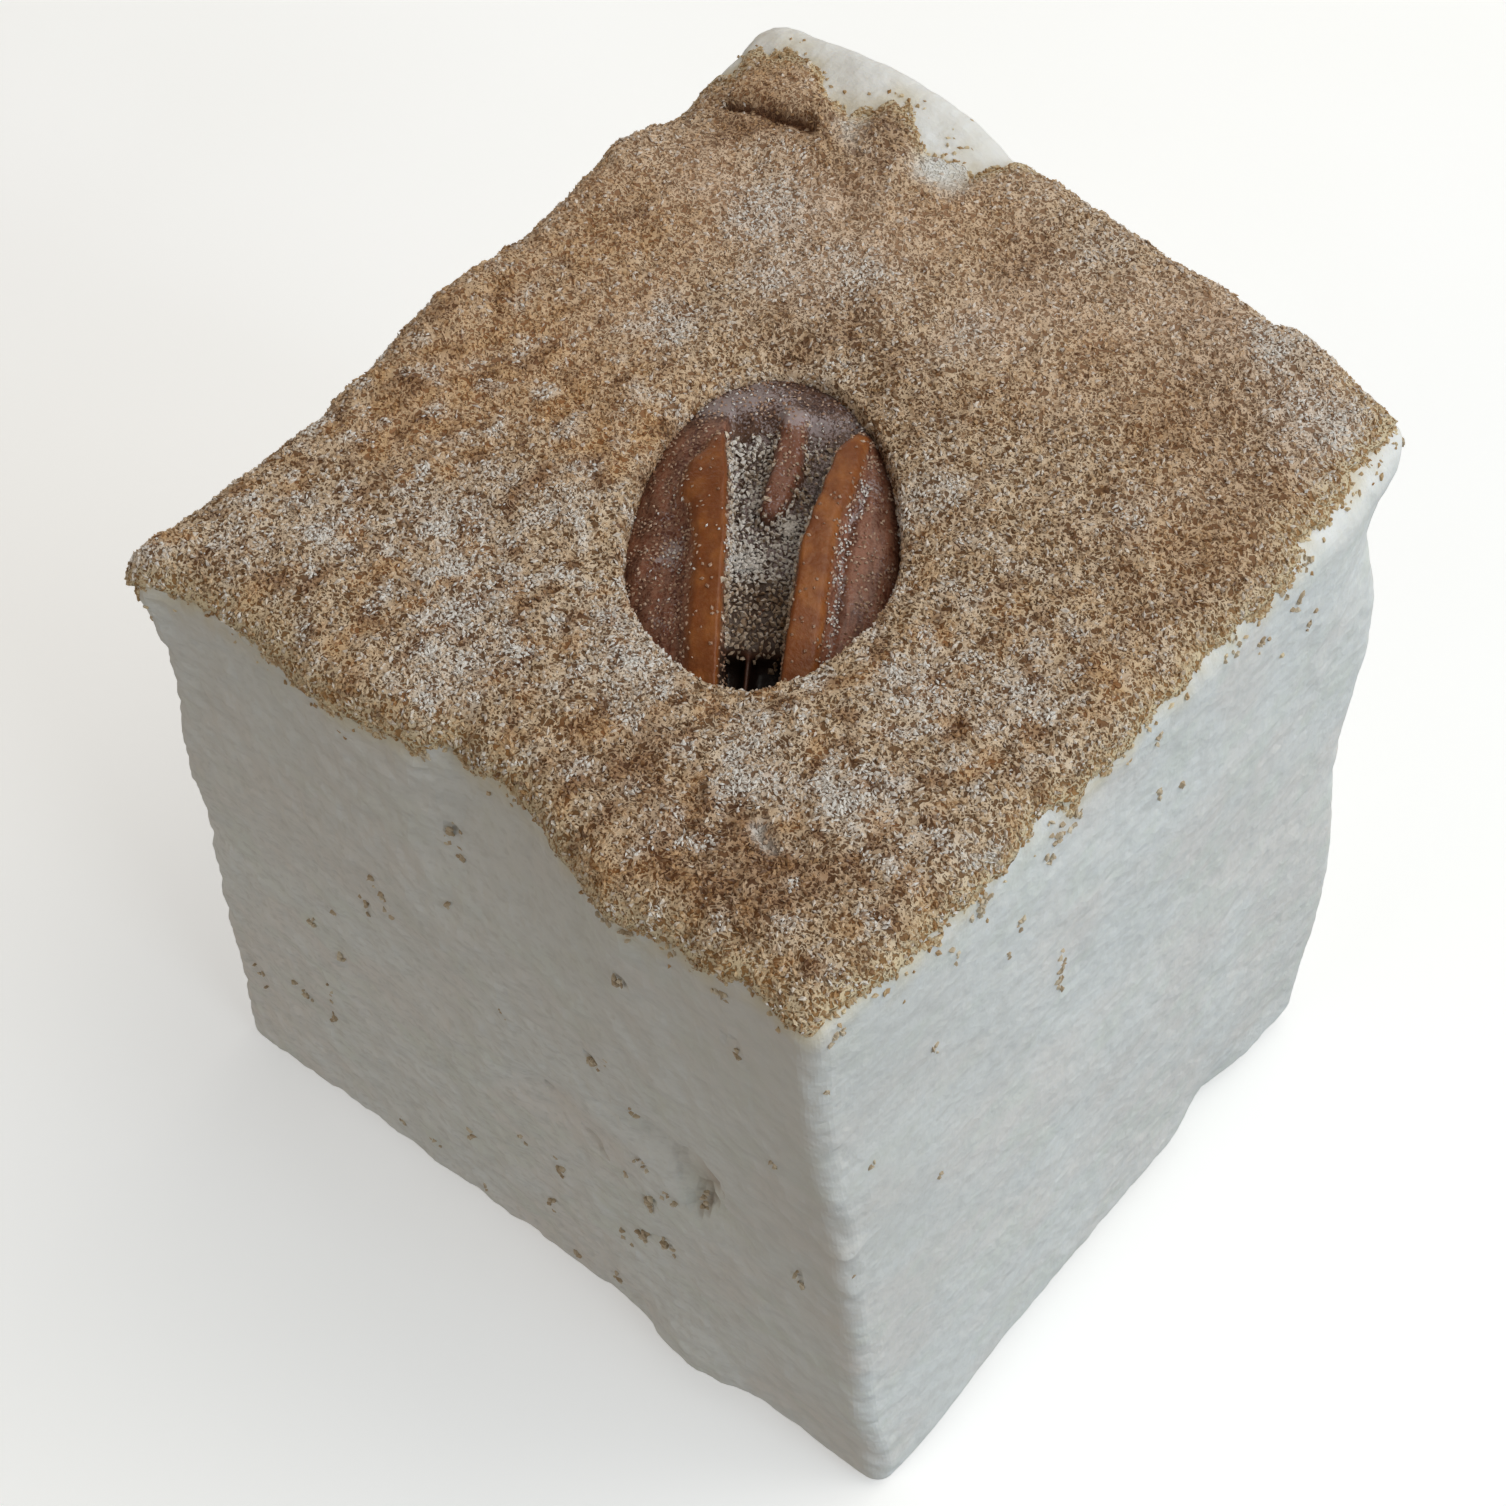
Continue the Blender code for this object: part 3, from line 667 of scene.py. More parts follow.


# %% [markdown]
# The finish of the foam.
# Set foam is matt and lets a little light in, which softens its shadows. Its white isn't even. Faint warm,
# greenish and grey areas are slow and fast noise, and fine dark specks on the front and left sides are painted
# shade in small pits. Other tints have a place, so the mesh keeps a number for each: cream where syrup has
# crept in under the margin, painted shade in the torn places, painted shade as a duller white along the upright
# front edge and below the sugar, and painted light as a brighter white on the top. Subsurface scattering is a
# plain value.

# %% Foam finish
def foam_finish():
    material, tree, shader = new_finish("marshmallow_foam", {
        "Roughness": 0.82, "Subsurface Weight": 0.22, "Subsurface Radius": (1.0, 0.9, 0.75),
        "Subsurface Scale": 0.0016, "Specular IOR Level": 0.22})
    place = add_node(tree, "ShaderNodeTexCoord").outputs["Object"]
    warm = soft_step(tree, cloud(tree, place, 0.0075), 0.42, 0.66)
    green = soft_step(tree, cloud(tree, stretch(tree, place, (1.3, 1.3, 1.6)), 0.0052), 0.50, 0.68)
    grey = soft_step(tree, cloud(tree, stretch(tree, place, (0.8, 0.8, 1.2)), 0.0012, 3.0), 0.44, 0.66)
    colour = paint(tree, warm, (0.805, 0.808, 0.788), (0.800, 0.768, 0.735))
    colour = paint(tree, calculate(tree, "MULTIPLY", green, 0.6), colour, (0.745, 0.764, 0.706))
    colour = paint(tree, calculate(tree, "MULTIPLY", grey, 0.50), colour, (0.690, 0.684, 0.660))
    # Painted shade: fine dark specks on the front and left sides, as the shade in small pits
    pit_shade = soft_step(tree, cloud(tree, stretch(tree, place, (0.8, 0.8, 1.3)), 0.00050, 2.0), 0.50, 0.70)
    pit_shade = calculate(tree, "MULTIPLY", pit_shade, kept(tree, "dragged"))
    colour = paint(tree, calculate(tree, "MULTIPLY", pit_shade, 0.42), colour, (0.570, 0.556, 0.522))
    in_runs = soft_step(tree, cloud(tree, place, 0.0024), 0.35, 0.65)
    syrup = calculate(tree, "MULTIPLY", kept(tree, "syrup"), in_runs)
    # Painted light on the top
    colour = paint(tree, calculate(tree, "MULTIPLY", kept(tree, "painted_top_light"), 0.80), colour, (0.900, 0.890, 0.870))
    # Painted shade on the front side and along the upright front edge
    colour = paint(tree, calculate(tree, "MULTIPLY", kept(tree, "painted_side_shade"), 0.45), colour, (0.600, 0.575, 0.535))
    colour = paint(tree, calculate(tree, "MULTIPLY", syrup, 0.72), colour, (0.700, 0.600, 0.410))
    # Painted shade in the torn places
    colour = paint(tree, calculate(tree, "MULTIPLY", kept(tree, "painted_tear_shade"), 0.60), colour, (0.420, 0.320, 0.240))
    tree.links.new(colour, shader.inputs["Base Color"])
    roughen(tree, shader, place_group(tree, fine_grit, size=0.00070, sharpness=0.50), 0.00020, 0.6)
    return material


foam = foam_finish()
plain_block = add_piece("plain_block", block_mesh)
marshmallow = run_tree("marshmallow_block", plain_block, foam_relief, material=foam)
bpy.data.objects.remove(plain_block)
hand_over(marshmallow, "marshmallow_body")


# %% [markdown]
# The bed of brown sugar.
# The slab was strewn with soft brown sugar before it was cut. The sugar packs into a thin crust with low lumps, and
# it looks patchy: pale where powdered sugar fell, toasted orange where it took up damp, dark in small clots. Grains
# finer than rice are best shown as relief on a solid bed, with loose grains on top. The bed is one sheet laid over
# the top, thickened by as much as the sugar is deep, and each of its points keeps how powdered, toasted and dark it
# is. The patches are written as short lists of spots.

# %% Patches of the sugar
# Each spot is x, y, reach and strength, in millimetres on the true box
POWDER_SPOTS = (
    (-13.5, 12.5, 2.5, 0.7), (-10, 9.5, 1.8, 0.6), (-6, 11.8, 1.8, 0.8), (-12, 3.4, 1.3, 0.9),
    (-14, 4.6, 1.0, 0.6), (1.8, 12.6, 1.6, 0.5), (7.5, 2.5, 2.2, 0.5), (15.3, 22, 2.2, 0.7), (21, 20, 3.0, 0.8),
    (17, 9, 1.5, 0.4), (15.5, -7, 2.2, 0.6), (20, -4, 2.5, 0.5), (17.7, -13.8, 2.0, 0.9),
    (13.5, -15.6, 1.8, 0.9), (10.5, -14, 1.8, 0.6), (-17, -18.3, 2.2, 0.6), (-21, -21, 2.0, 0.4),
    (-12, -13.5, 3.0, 0.7), (-7, -18, 2.5, 0.8), (-5, -21, 2.5, 0.6), (0, -13.8, 2.5, 0.5), (3, -16, 3.0, 0.5),
    (-8, -8.6, 1.8, 0.5), (11, -20.8, 1.6, 0.5), (22, -13.5, 1.6, 0.5), (3.5, 21.5, 1.8, 0.3),
    (-2.5, 6.5, 1.4, 0.4), (10, -2.5, 1.2, 0.3), (-16.5, 15.6, 1.5, 0.3),
)
TOASTED_SPOTS = (
    (-20, -8, 4.5, 0.9), (-17, -3, 5.0, 0.8), (-20, 6, 5.0, 0.7), (-12, -3, 3.5, 0.6), (-22, -1, 3.0, 0.7),
    (-8, -1.5, 3.0, 0.5), (-16, 8.5, 3.0, 0.4), (8, 15.5, 2.0, 0.5), (-19, 17.5, 3.5, 0.6),
    (-14, 17.5, 3.0, 0.4), (22.5, 15, 2.0, 0.5), (-2, 17, 4.0, 0.3), (14, -4.5, 1.5, 0.3), (3.3, -21, 1.2, 0.9),
    (-6, 19, 3.0, 0.4), (12, -22.5, 3.0, 0.4), (-13, -18.2, 2.0, 0.4), (-20.5, 19.8, 2.2, 0.7),
    (20, 9, 3.5, 0.6), (14, 14, 3.5, 0.5), (22, 1, 3.0, 0.4), (6, 10, 2.5, 0.4),
)
DARK_SPOTS = (
    # The first two spots lie along the crack, and their dark is painted shade beside it; the others are dark clots
    (-18.5, 17.0, 1.6, 0.9), (-15.8, 17.5, 1.0, 0.8), (-11.5, 17.8, 2.5, 0.35), (1, 18.4, 1.8, 0.6),
    (-4, 9.3, 1.5, 0.6), (0, 8.8, 1.6, 0.5), (-5.2, 6.5, 1.3, 0.7), (3.5, 7, 1.5, 0.4), (7, -18, 1.6, 0.7),
    (11.5, -18.2, 1.2, 0.6), (12, -21.5, 1.6, 0.8), (16.5, -19.6, 2.0, 0.8), (19.3, -19, 1.6, 0.8),
    (16, -22, 1.8, 0.7), (19, -22, 1.4, 0.6), (8.5, -20.5, 1.4, 0.6), (14, -19, 1.4, 0.6), (3.3, -21, 0.7, 0.9),
    (-18, -15.6, 1.0, 0.6), (-20, 8, 1.6, 0.3), (14.5, 13.5, 2.0, 0.35), (20, 15, 3.0, 0.3), (15, 18, 3.0, 0.3),
    (-18, -4.5, 1.5, 0.3), (22, 8, 2.5, 0.3), (17, 8, 1.0, 0.4), (8.5, 9.5, 0.8, 0.4), (6.4, -19.8, 1.2, 0.5),
    (-11.8, 20.2, 1.2, 0.6),
)
CAKED_SPOTS = (
    (-18, 12, 6.0, 0.8), (-9, 13.5, 5.5, 0.9), (-3, 19.5, 4.5, 0.7), (-22, 7, 4.0, 0.5), (3, 14, 4.5, 0.6),
    (-19.5, 19, 3.5, 0.8), (-19, -3, 6.0, 0.55), (-14, 3, 5.0, 0.4), (10, 18, 6.0, 0.5), (-20, -10, 4.0, 0.4),
    (-9, -4, 4.0, 0.35), (19, 12, 5.0, 0.25), (21, 20, 4.0, 0.6), (12, 21, 5.0, 0.4),
)
BARE_SPOTS = ((15.9, -18.4, 0.45, 0.8), (-13.2, 18.9, 1.0, 0.6), (-7.3, 20.6, 1.3, 1.0))


def spotted(places, spots):
    """How strongly the spots cover each place, 0 to 1. The places are nudged first, so no spot is a neat disc."""
    flat = np.column_stack([places[:, 0], places[:, 1], np.zeros(len(places))])
    nudge = np.column_stack([noise_at(flat, 0.0026, (7.7, 0, 0)), noise_at(flat, 0.0026, (0, 9.1, 0))]) * 0.0013
    uncovered = np.ones(len(places))
    for x, y, reach, strength in spots:
        away = np.hypot(flat[:, 0] + nudge[:, 0] - x * MM, flat[:, 1] + nudge[:, 1] - y * MM)
        uncovered *= 1.0 - strength * bell(away, reach * MM)
    return 1.0 - uncovered


# %% The bed's sheet
BED_CELLS = 214
BED_EDGE = 0.00012
BED_SUNK = 0.00045
LUMP_HEIGHT, GRIT_HEIGHT = 0.00020, 0.00013
LIP_REACH = 0.0022
CRACK_REACH, CRACK_DROP = 0.00038, 0.00055
RAISED_REACH, RAISED_BY = 0.0011, 0.00035

line = np.linspace(-1.0, 1.0, BED_CELLS + 1)
sheet_x, sheet_y = (values.ravel() for values in np.meshgrid(line, line))


def over_top(x, y):
    """Lays a flat sheet (-1 to 1) over the top of the true box, its margin hanging down by the skirt."""
    edge, square = top_edge(np.column_stack([x * WIDTH / 2, y * DEPTH / 2]))
    outer = np.maximum(0.0, (square - SKIRT_STARTS) / (1.0 - SKIRT_STARTS))
    reach = square * WIDTH / 2 + outer * skirt(edge)
    on_top = edge * np.column_stack([reach * 2 / WIDTH, reach * 2 / WIDTH, np.ones(len(x))])
    hanging = edge - np.outer(reach - WIDTH / 2, (0.0, 0.0, 1.0))
    return np.where((reach <= WIDTH / 2)[:, None], on_top, hanging)


def sheet_normals(points, cells):
    grid = points.reshape(cells + 1, cells + 1, 3)
    normals = np.cross(np.gradient(grid, axis=1), np.gradient(grid, axis=0)).reshape(-1, 3)
    return normals / np.linalg.norm(normals, axis=1, keepdims=True)


bed_on_box = over_top(sheet_x, sheet_y)
bed_lower = settle(rounded(bed_on_box, GAP))
outward = sheet_normals(bed_lower, BED_CELLS)
margin = (1.0 - np.maximum(np.abs(sheet_x), np.abs(sheet_y))) * WIDTH / 2
bare = spotted(bed_on_box, BARE_SPOTS)
lip = smooth(from_mouth(bed_lower) / LIP_REACH)
bed_depth = BED_EDGE + (CRUST - 0.0002 - BED_EDGE) * smooth(margin / 0.0028)
bed_depth *= 0.40 + 0.60 * lip
bed_depth *= 1.0 - 0.75 * bare
relief = LUMP_HEIGHT * noise_at(bed_lower, 0.0026) + 0.8 * LUMP_HEIGHT * noise_at(bed_lower, 0.0011)
relief += GRIT_HEIGHT * noise_at(bed_lower, 0.00042)
bed_depth = np.maximum(bed_depth + relief * smooth(margin / 0.0012), BED_EDGE / 2)
crack = bell(from_crack(bed_on_box), CRACK_REACH)
behind_crack = from_crack(bed_on_box - (0.0, RAISED_REACH, 0.0))
bed_depth += RAISED_BY * bell(behind_crack, RAISED_REACH) - CRACK_DROP * crack
print(f"sugar bed: {bed_depth.mean() / MM:.2f} mm deep on average")


# %% The bed as a closed shell
def closed_shell(name, outer, inner, cells):
    """Joins two sheets of the same grid, back to back, with a wall along their margin."""
    row = cells + 1
    corner = np.add.outer(np.arange(cells) * row, np.arange(cells)).ravel()
    quads = np.column_stack([corner, corner + 1, corner + row + 1, corner + row])
    rim = np.concatenate([np.arange(cells), np.arange(cells) * row + cells,
                          row * row - 1 - np.arange(cells), (cells - np.arange(cells)) * row])
    following = np.roll(rim, -1)
    back = len(outer)
    walls = np.column_stack([rim, rim + back, following + back, following])
    faces = np.vstack([quads, quads[:, ::-1] + back, walls])
    return new_mesh(name, np.vstack([outer, inner]), faces.tolist())


bed_outer = bed_lower + outward * bed_depth[:, None]
bed_inner = bed_lower - outward * BED_SUNK
for face in (bed_outer, bed_inner):
    face[:, 2] -= bowl(bed_lower)
bed_mesh = closed_shell("sugar_bed", bed_outer, bed_inner, BED_CELLS)

front_half = smooth((0.012 - bed_on_box[:, 1]) / 0.02)
clotted = smooth(noise_at(bed_on_box, 0.0013, (2.2, 4.4, 0)) * 2.8 - 0.40)
dusted = smooth(noise_at(bed_on_box, 0.0015, (6.1, 0, 1.3)) * 2.6 - 0.20)
powder = spotted(bed_on_box, POWDER_SPOTS) * (0.85 + 0.5 * noise_at(bed_on_box, 0.0017))
powder += 0.60 * dusted * front_half
toasted = spotted(bed_on_box, TOASTED_SPOTS) * (0.9 + 0.4 * noise_at(bed_on_box, 0.0023, (3.1, 0, 0)))
toasted += 0.80 * smooth(noise_at(bed_on_box, 0.0017, (0, 8.8, 3.7)) * 2.8 - 0.25) * front_half
dark = spotted(bed_on_box, DARK_SPOTS) + 0.25 * smooth(noise_at(bed_on_box, 0.0034, (5.5, 0, 0)) * 2 - 0.3)
dark += 0.85 * clotted * (0.25 + 0.75 * front_half)
caked = spotted(bed_on_box, CAKED_SPOTS) * (0.85 + 0.5 * noise_at(bed_on_box, 0.0029, (1.7, 0, 0)))
powder, toasted, dark, caked = (np.clip(values, 0.0, 1.0) for values in (powder, toasted, dark, caked))
thin = bell(margin, 0.0013)
strewn = smooth(margin / 0.0004) * (1.0 - 0.97 * bare) * smooth((from_mouth(bed_lower) + 0.0004) / 0.0003)
strewn *= (1.0 - 0.85 * crack) * (1.0 - 0.45 * caked)
for label, values in {
    "powder": powder, "toasted": toasted, "dark": dark, "bare": bare, "caked": caked, "thin": thin, "crack": crack,
    "tan_grains": strewn * np.clip(0.50 - 0.20 * powder - 0.20 * toasted - 0.25 * dark, 0, 1),
    "golden_grains": strewn * np.clip(0.16 + 0.45 * toasted - 0.10 * powder + 0.35 * thin, 0, 1),
    "pale_grains": strewn * np.clip(0.24 + 0.52 * powder - 0.30 * dark - 0.20 * toasted, 0, 1),
    "dark_grains": strewn * np.clip(0.08 + 0.80 * dark - 0.08 * powder, 0, 1),
    "powder_flecks": strewn * np.clip(1.1 * powder - 0.08, 0, 1),
}.items():
    on_inner_side = values if not label.endswith(("grains", "flecks")) else np.zeros_like(values)
    store(bed_mesh, label, np.concatenate([values, on_inner_side]))
print(f"sugar bed shell: {triangles(bed_mesh)} triangles")


# %% [markdown]
# The finish of the sugar bed.
# Packed brown sugar seen from above is a pale net of crumbs that join up round small dark pits. The net could be
# modelled, but its strands are a quarter of a millimetre wide, so a shared group draws it and also raises it. The
# colours of the crumbs and of the pits come from the group that knows the zones.

# %% Sugar bed finish
STRANDS = {"size": 0.00056, "width": 0.055}


def bed_finish():
    material, tree, shader = new_finish("brown_sugar_bed", {"Roughness": 0.62, "Specular IOR Level": 0.30})
    zone = add_node(tree, "ShaderNodeGroup", node_tree=sugar_by_zone).outputs
    net = place_group(tree, crumb_net, **STRANDS)
    tree.links.new(paint(tree, net, zone["Pit"], zone["Crumb"]), shader.inputs["Base Color"])
    grit = place_group(tree, fine_grit, size=0.00022, sharpness=0.6)
    height = calculate(tree, "ADD", net, calculate(tree, "MULTIPLY", grit, 0.6))
    roughen(tree, shader, height, 0.00008)
    return material


sugar_bed = add_piece("sugar_bed", bed_mesh)
bed_mesh.materials.append(bed_finish())
hand_over(sugar_bed, "sugar_crust")


# %% [markdown]
# Loose grains.
# Brown sugar is a mix: amber and tan crystals, pale ones that the powder has coated, dark damp ones, and specks of
# the powder itself. Tens of thousands of grains can't be placed by hand. One Geometry Nodes tree strews one kind:
# it spreads points evenly by a least distance, thinned by the number that the bed keeps for that kind, puts a
# small crystal of eight faces on each, turns and stretches it at random, dents it, and stores a random tone for
# the finish. The tree ends as one plain mesh for each kind, because instances don't survive an export.

# %% The strewing tree
DENTS_A_METRE = 4200.0


def grains_on_points(tree, given, points, away):
    """Puts a long crystal on each point: lifted, laid flat, turned, dented and given a tone."""
    lift = calculate(tree, "MULTIPLY", given["Radius"], given["Lift"])
    lifted = add_node(tree, "GeometryNodeSetPosition", {"Geometry": points, "Offset": stretch(tree, away, lift)})

    def chance(low, high, step, kind="FLOAT"):
        first = 0 if kind == "FLOAT_VECTOR" else 2
        node = add_node(tree, "FunctionNodeRandomValue", {
            first: low, first + 1: high, "Seed": calculate(tree, "ADD", given["Seed"], step)}, data_type=kind)
        return node.outputs[0 if kind == "FLOAT_VECTOR" else 1]

    toned = add_node(tree, "GeometryNodeStoreNamedAttribute", {
        "Geometry": lifted.outputs[0], "Name": "tone", "Value": chance(0.0, 1.0, 1)}, data_type="FLOAT")
    crystal = add_node(tree, "GeometryNodeMeshUVSphere", {"Segments": 4, "Rings": given["Rings"]}).outputs[0]
    flat = add_node(tree, "FunctionNodeAlignRotationToVector", {"Vector": away}, axis="Z").outputs[0]
    turn = add_node(tree, "FunctionNodeEulerToRotation", {
        0: chance((-0.5, -0.5, 0.0), (0.5, 0.5, math.tau), 2, "FLOAT_VECTOR")}).outputs[0]
    lying = add_node(tree, "FunctionNodeRotateRotation", {0: flat, 1: turn}, rotation_space="LOCAL").outputs[0]
    longest = add_node(tree, "ShaderNodeCombineXYZ", {0: given["Length"], 1: 1.05, 2: 1.0}).outputs[0]
    shape = chance((1.00, 0.60, 0.60), longest, 3, "FLOAT_VECTOR")
    size = calculate(tree, "MULTIPLY", given["Radius"], chance(0.70, 1.30, 4))
    grains = add_node(tree, "GeometryNodeInstanceOnPoints", {
        "Points": toned.outputs[0], "Instance": crystal, "Rotation": lying, "Scale": stretch(tree, shape, size)})
    joined = add_node(tree, "GeometryNodeRealizeInstances", {0: grains.outputs[0]}).outputs[0]
    place = add_node(tree, "GeometryNodeInputPosition").outputs[0]
    texture = add_node(tree, "ShaderNodeTexNoise", {"Vector": place, "Scale": DENTS_A_METRE, "Detail": 0.0})
    dent = stretch(tree, vector_step(tree, "SUBTRACT", texture.outputs["Color"], (0.5, 0.5, 0.5)),
                   calculate(tree, "MULTIPLY", given["Radius"], 1.1))
    dented = add_node(tree, "GeometryNodeSetPosition", {"Geometry": joined, "Offset": dent}).outputs[0]
    painted = add_node(tree, "GeometryNodeSetMaterial", {0: dented, "Material": given["Material"]})
    add_node(tree, "NodeGroupOutput", {"Geometry": painted.outputs[0]})


GRAIN_INPUTS = (("Radius", "Float", 0.0002), ("Length", "Float", 2.1), ("Rings", "Int", 2),
                ("Lift", "Float", 0.2), ("Seed", "Int", 1), ("Material", "Material", None))


def strewing_tree():
    tree, given = new_tree("strew_grains", (
        ("Spacing", "Float", 0.0004), ("Where", "String", "tan_grains"), *GRAIN_INPUTS))
    share = add_node(tree, "GeometryNodeInputNamedAttribute", {"Name": given["Where"]},
                     data_type="FLOAT").outputs[0]
    area = calculate(tree, "MULTIPLY", given["Spacing"], given["Spacing"])
    spread = add_node(tree, "GeometryNodeDistributePointsOnFaces", distribute_method="POISSON")
    for label, value in {"Mesh": given["Geometry"], "Distance Min": given["Spacing"], "Density Factor": share,
                         "Density Max": calculate(tree, "DIVIDE", 4.0, area), "Seed": given["Seed"]}.items():
        tree.links.new(value, spread.inputs[label])
    grains_on_points(tree, given, spread.outputs["Points"], spread.outputs["Normal"])
    return tree


strew_grains = strewing_tree()
print("tree:", strew_grains.name)


# %% Grain finishes
def grain_finish(name, darker, lighter, apart, powdered, gloss):
    """Crystals between two tones, which stand apart from the sugar and its strands, with powder on their tops."""
    material, tree, shader = new_finish(name, {"Roughness": gloss, "Specular IOR Level": 0.40})
    own = paint(tree, kept(tree, "tone"), darker, lighter)
    zone = add_node(tree, "ShaderNodeGroup", node_tree=sugar_by_zone).outputs
    net = place_group(tree, crumb_net, **STRANDS)
    colour = paint(tree, apart, paint(tree, net, zone["Pit"], zone["Crumb"]), own)
    amount = calculate(tree, "ADD", calculate(tree, "MULTIPLY", kept(tree, "powder"), 0.7), powdered)
    dust = place_group(tree, lying_powder, amount=amount, speck=0.00014)
    colour = paint(tree, dust, colour, (0.740, 0.700, 0.655))
    tree.links.new(colour, shader.inputs["Base Color"])
    return material


tan_crystal = grain_finish("tan_crystal", (0.400, 0.255, 0.135), (0.660, 0.500, 0.340), 0.30, 0.10, 0.50)
golden_crystal = grain_finish("golden_crystal", (0.340, 0.165, 0.055), (0.600, 0.380, 0.190), 0.45, 0.03, 0.45)
pale_crystal = grain_finish("pale_crystal", (0.640, 0.550, 0.470), (0.800, 0.755, 0.710), 0.60, 0.25, 0.62)
dark_crystal = grain_finish("dark_crystal", (0.095, 0.036, 0.011), (0.240, 0.110, 0.036), 0.70, 0.03, 0.42)
powder_speck = grain_finish("powder_speck", (0.600, 0.550, 0.520), (0.780, 0.750, 0.730), 1.0, 0.50, 0.85)

# %% Strew the grains over the bed
STREWN_KINDS = (
    ("tan_grains", tan_crystal, 0.00021, 0.000125, 0.05, 11),
    ("golden_grains", golden_crystal, 0.00021, 0.000125, 0.05, 23),
    ("pale_grains", pale_crystal, 0.00020, 0.000120, 0.15, 37),
    ("dark_grains", dark_crystal, 0.00024, 0.000130, -0.10, 41),
    ("powder_flecks", powder_speck, 0.00028, 0.000075, 0.90, 53),
)
for name, finish, spacing, radius, lift, seed in STREWN_KINDS:
    grains = run_tree(name, sugar_bed, strew_grains, where=name, material=finish, spacing=spacing, radius=radius,
                      lift=lift, seed=seed)
    hand_over(grains, "sugar_crust")


# %% [markdown]
# Crumbs on the cut sides.
# The knife carried single grains and small clusters down the sides, where they stuck. Each cluster was seen in one
# place, so these are not strewn by a rule: a list gives the place of each, how many grains it has and how far it
# is drawn out, and a seeded draw scatters its grains. The hidden sides get clusters of the same kinds. The same
# crystals are then put on those points, with one more ring of faces, because each is seen alone on the white.

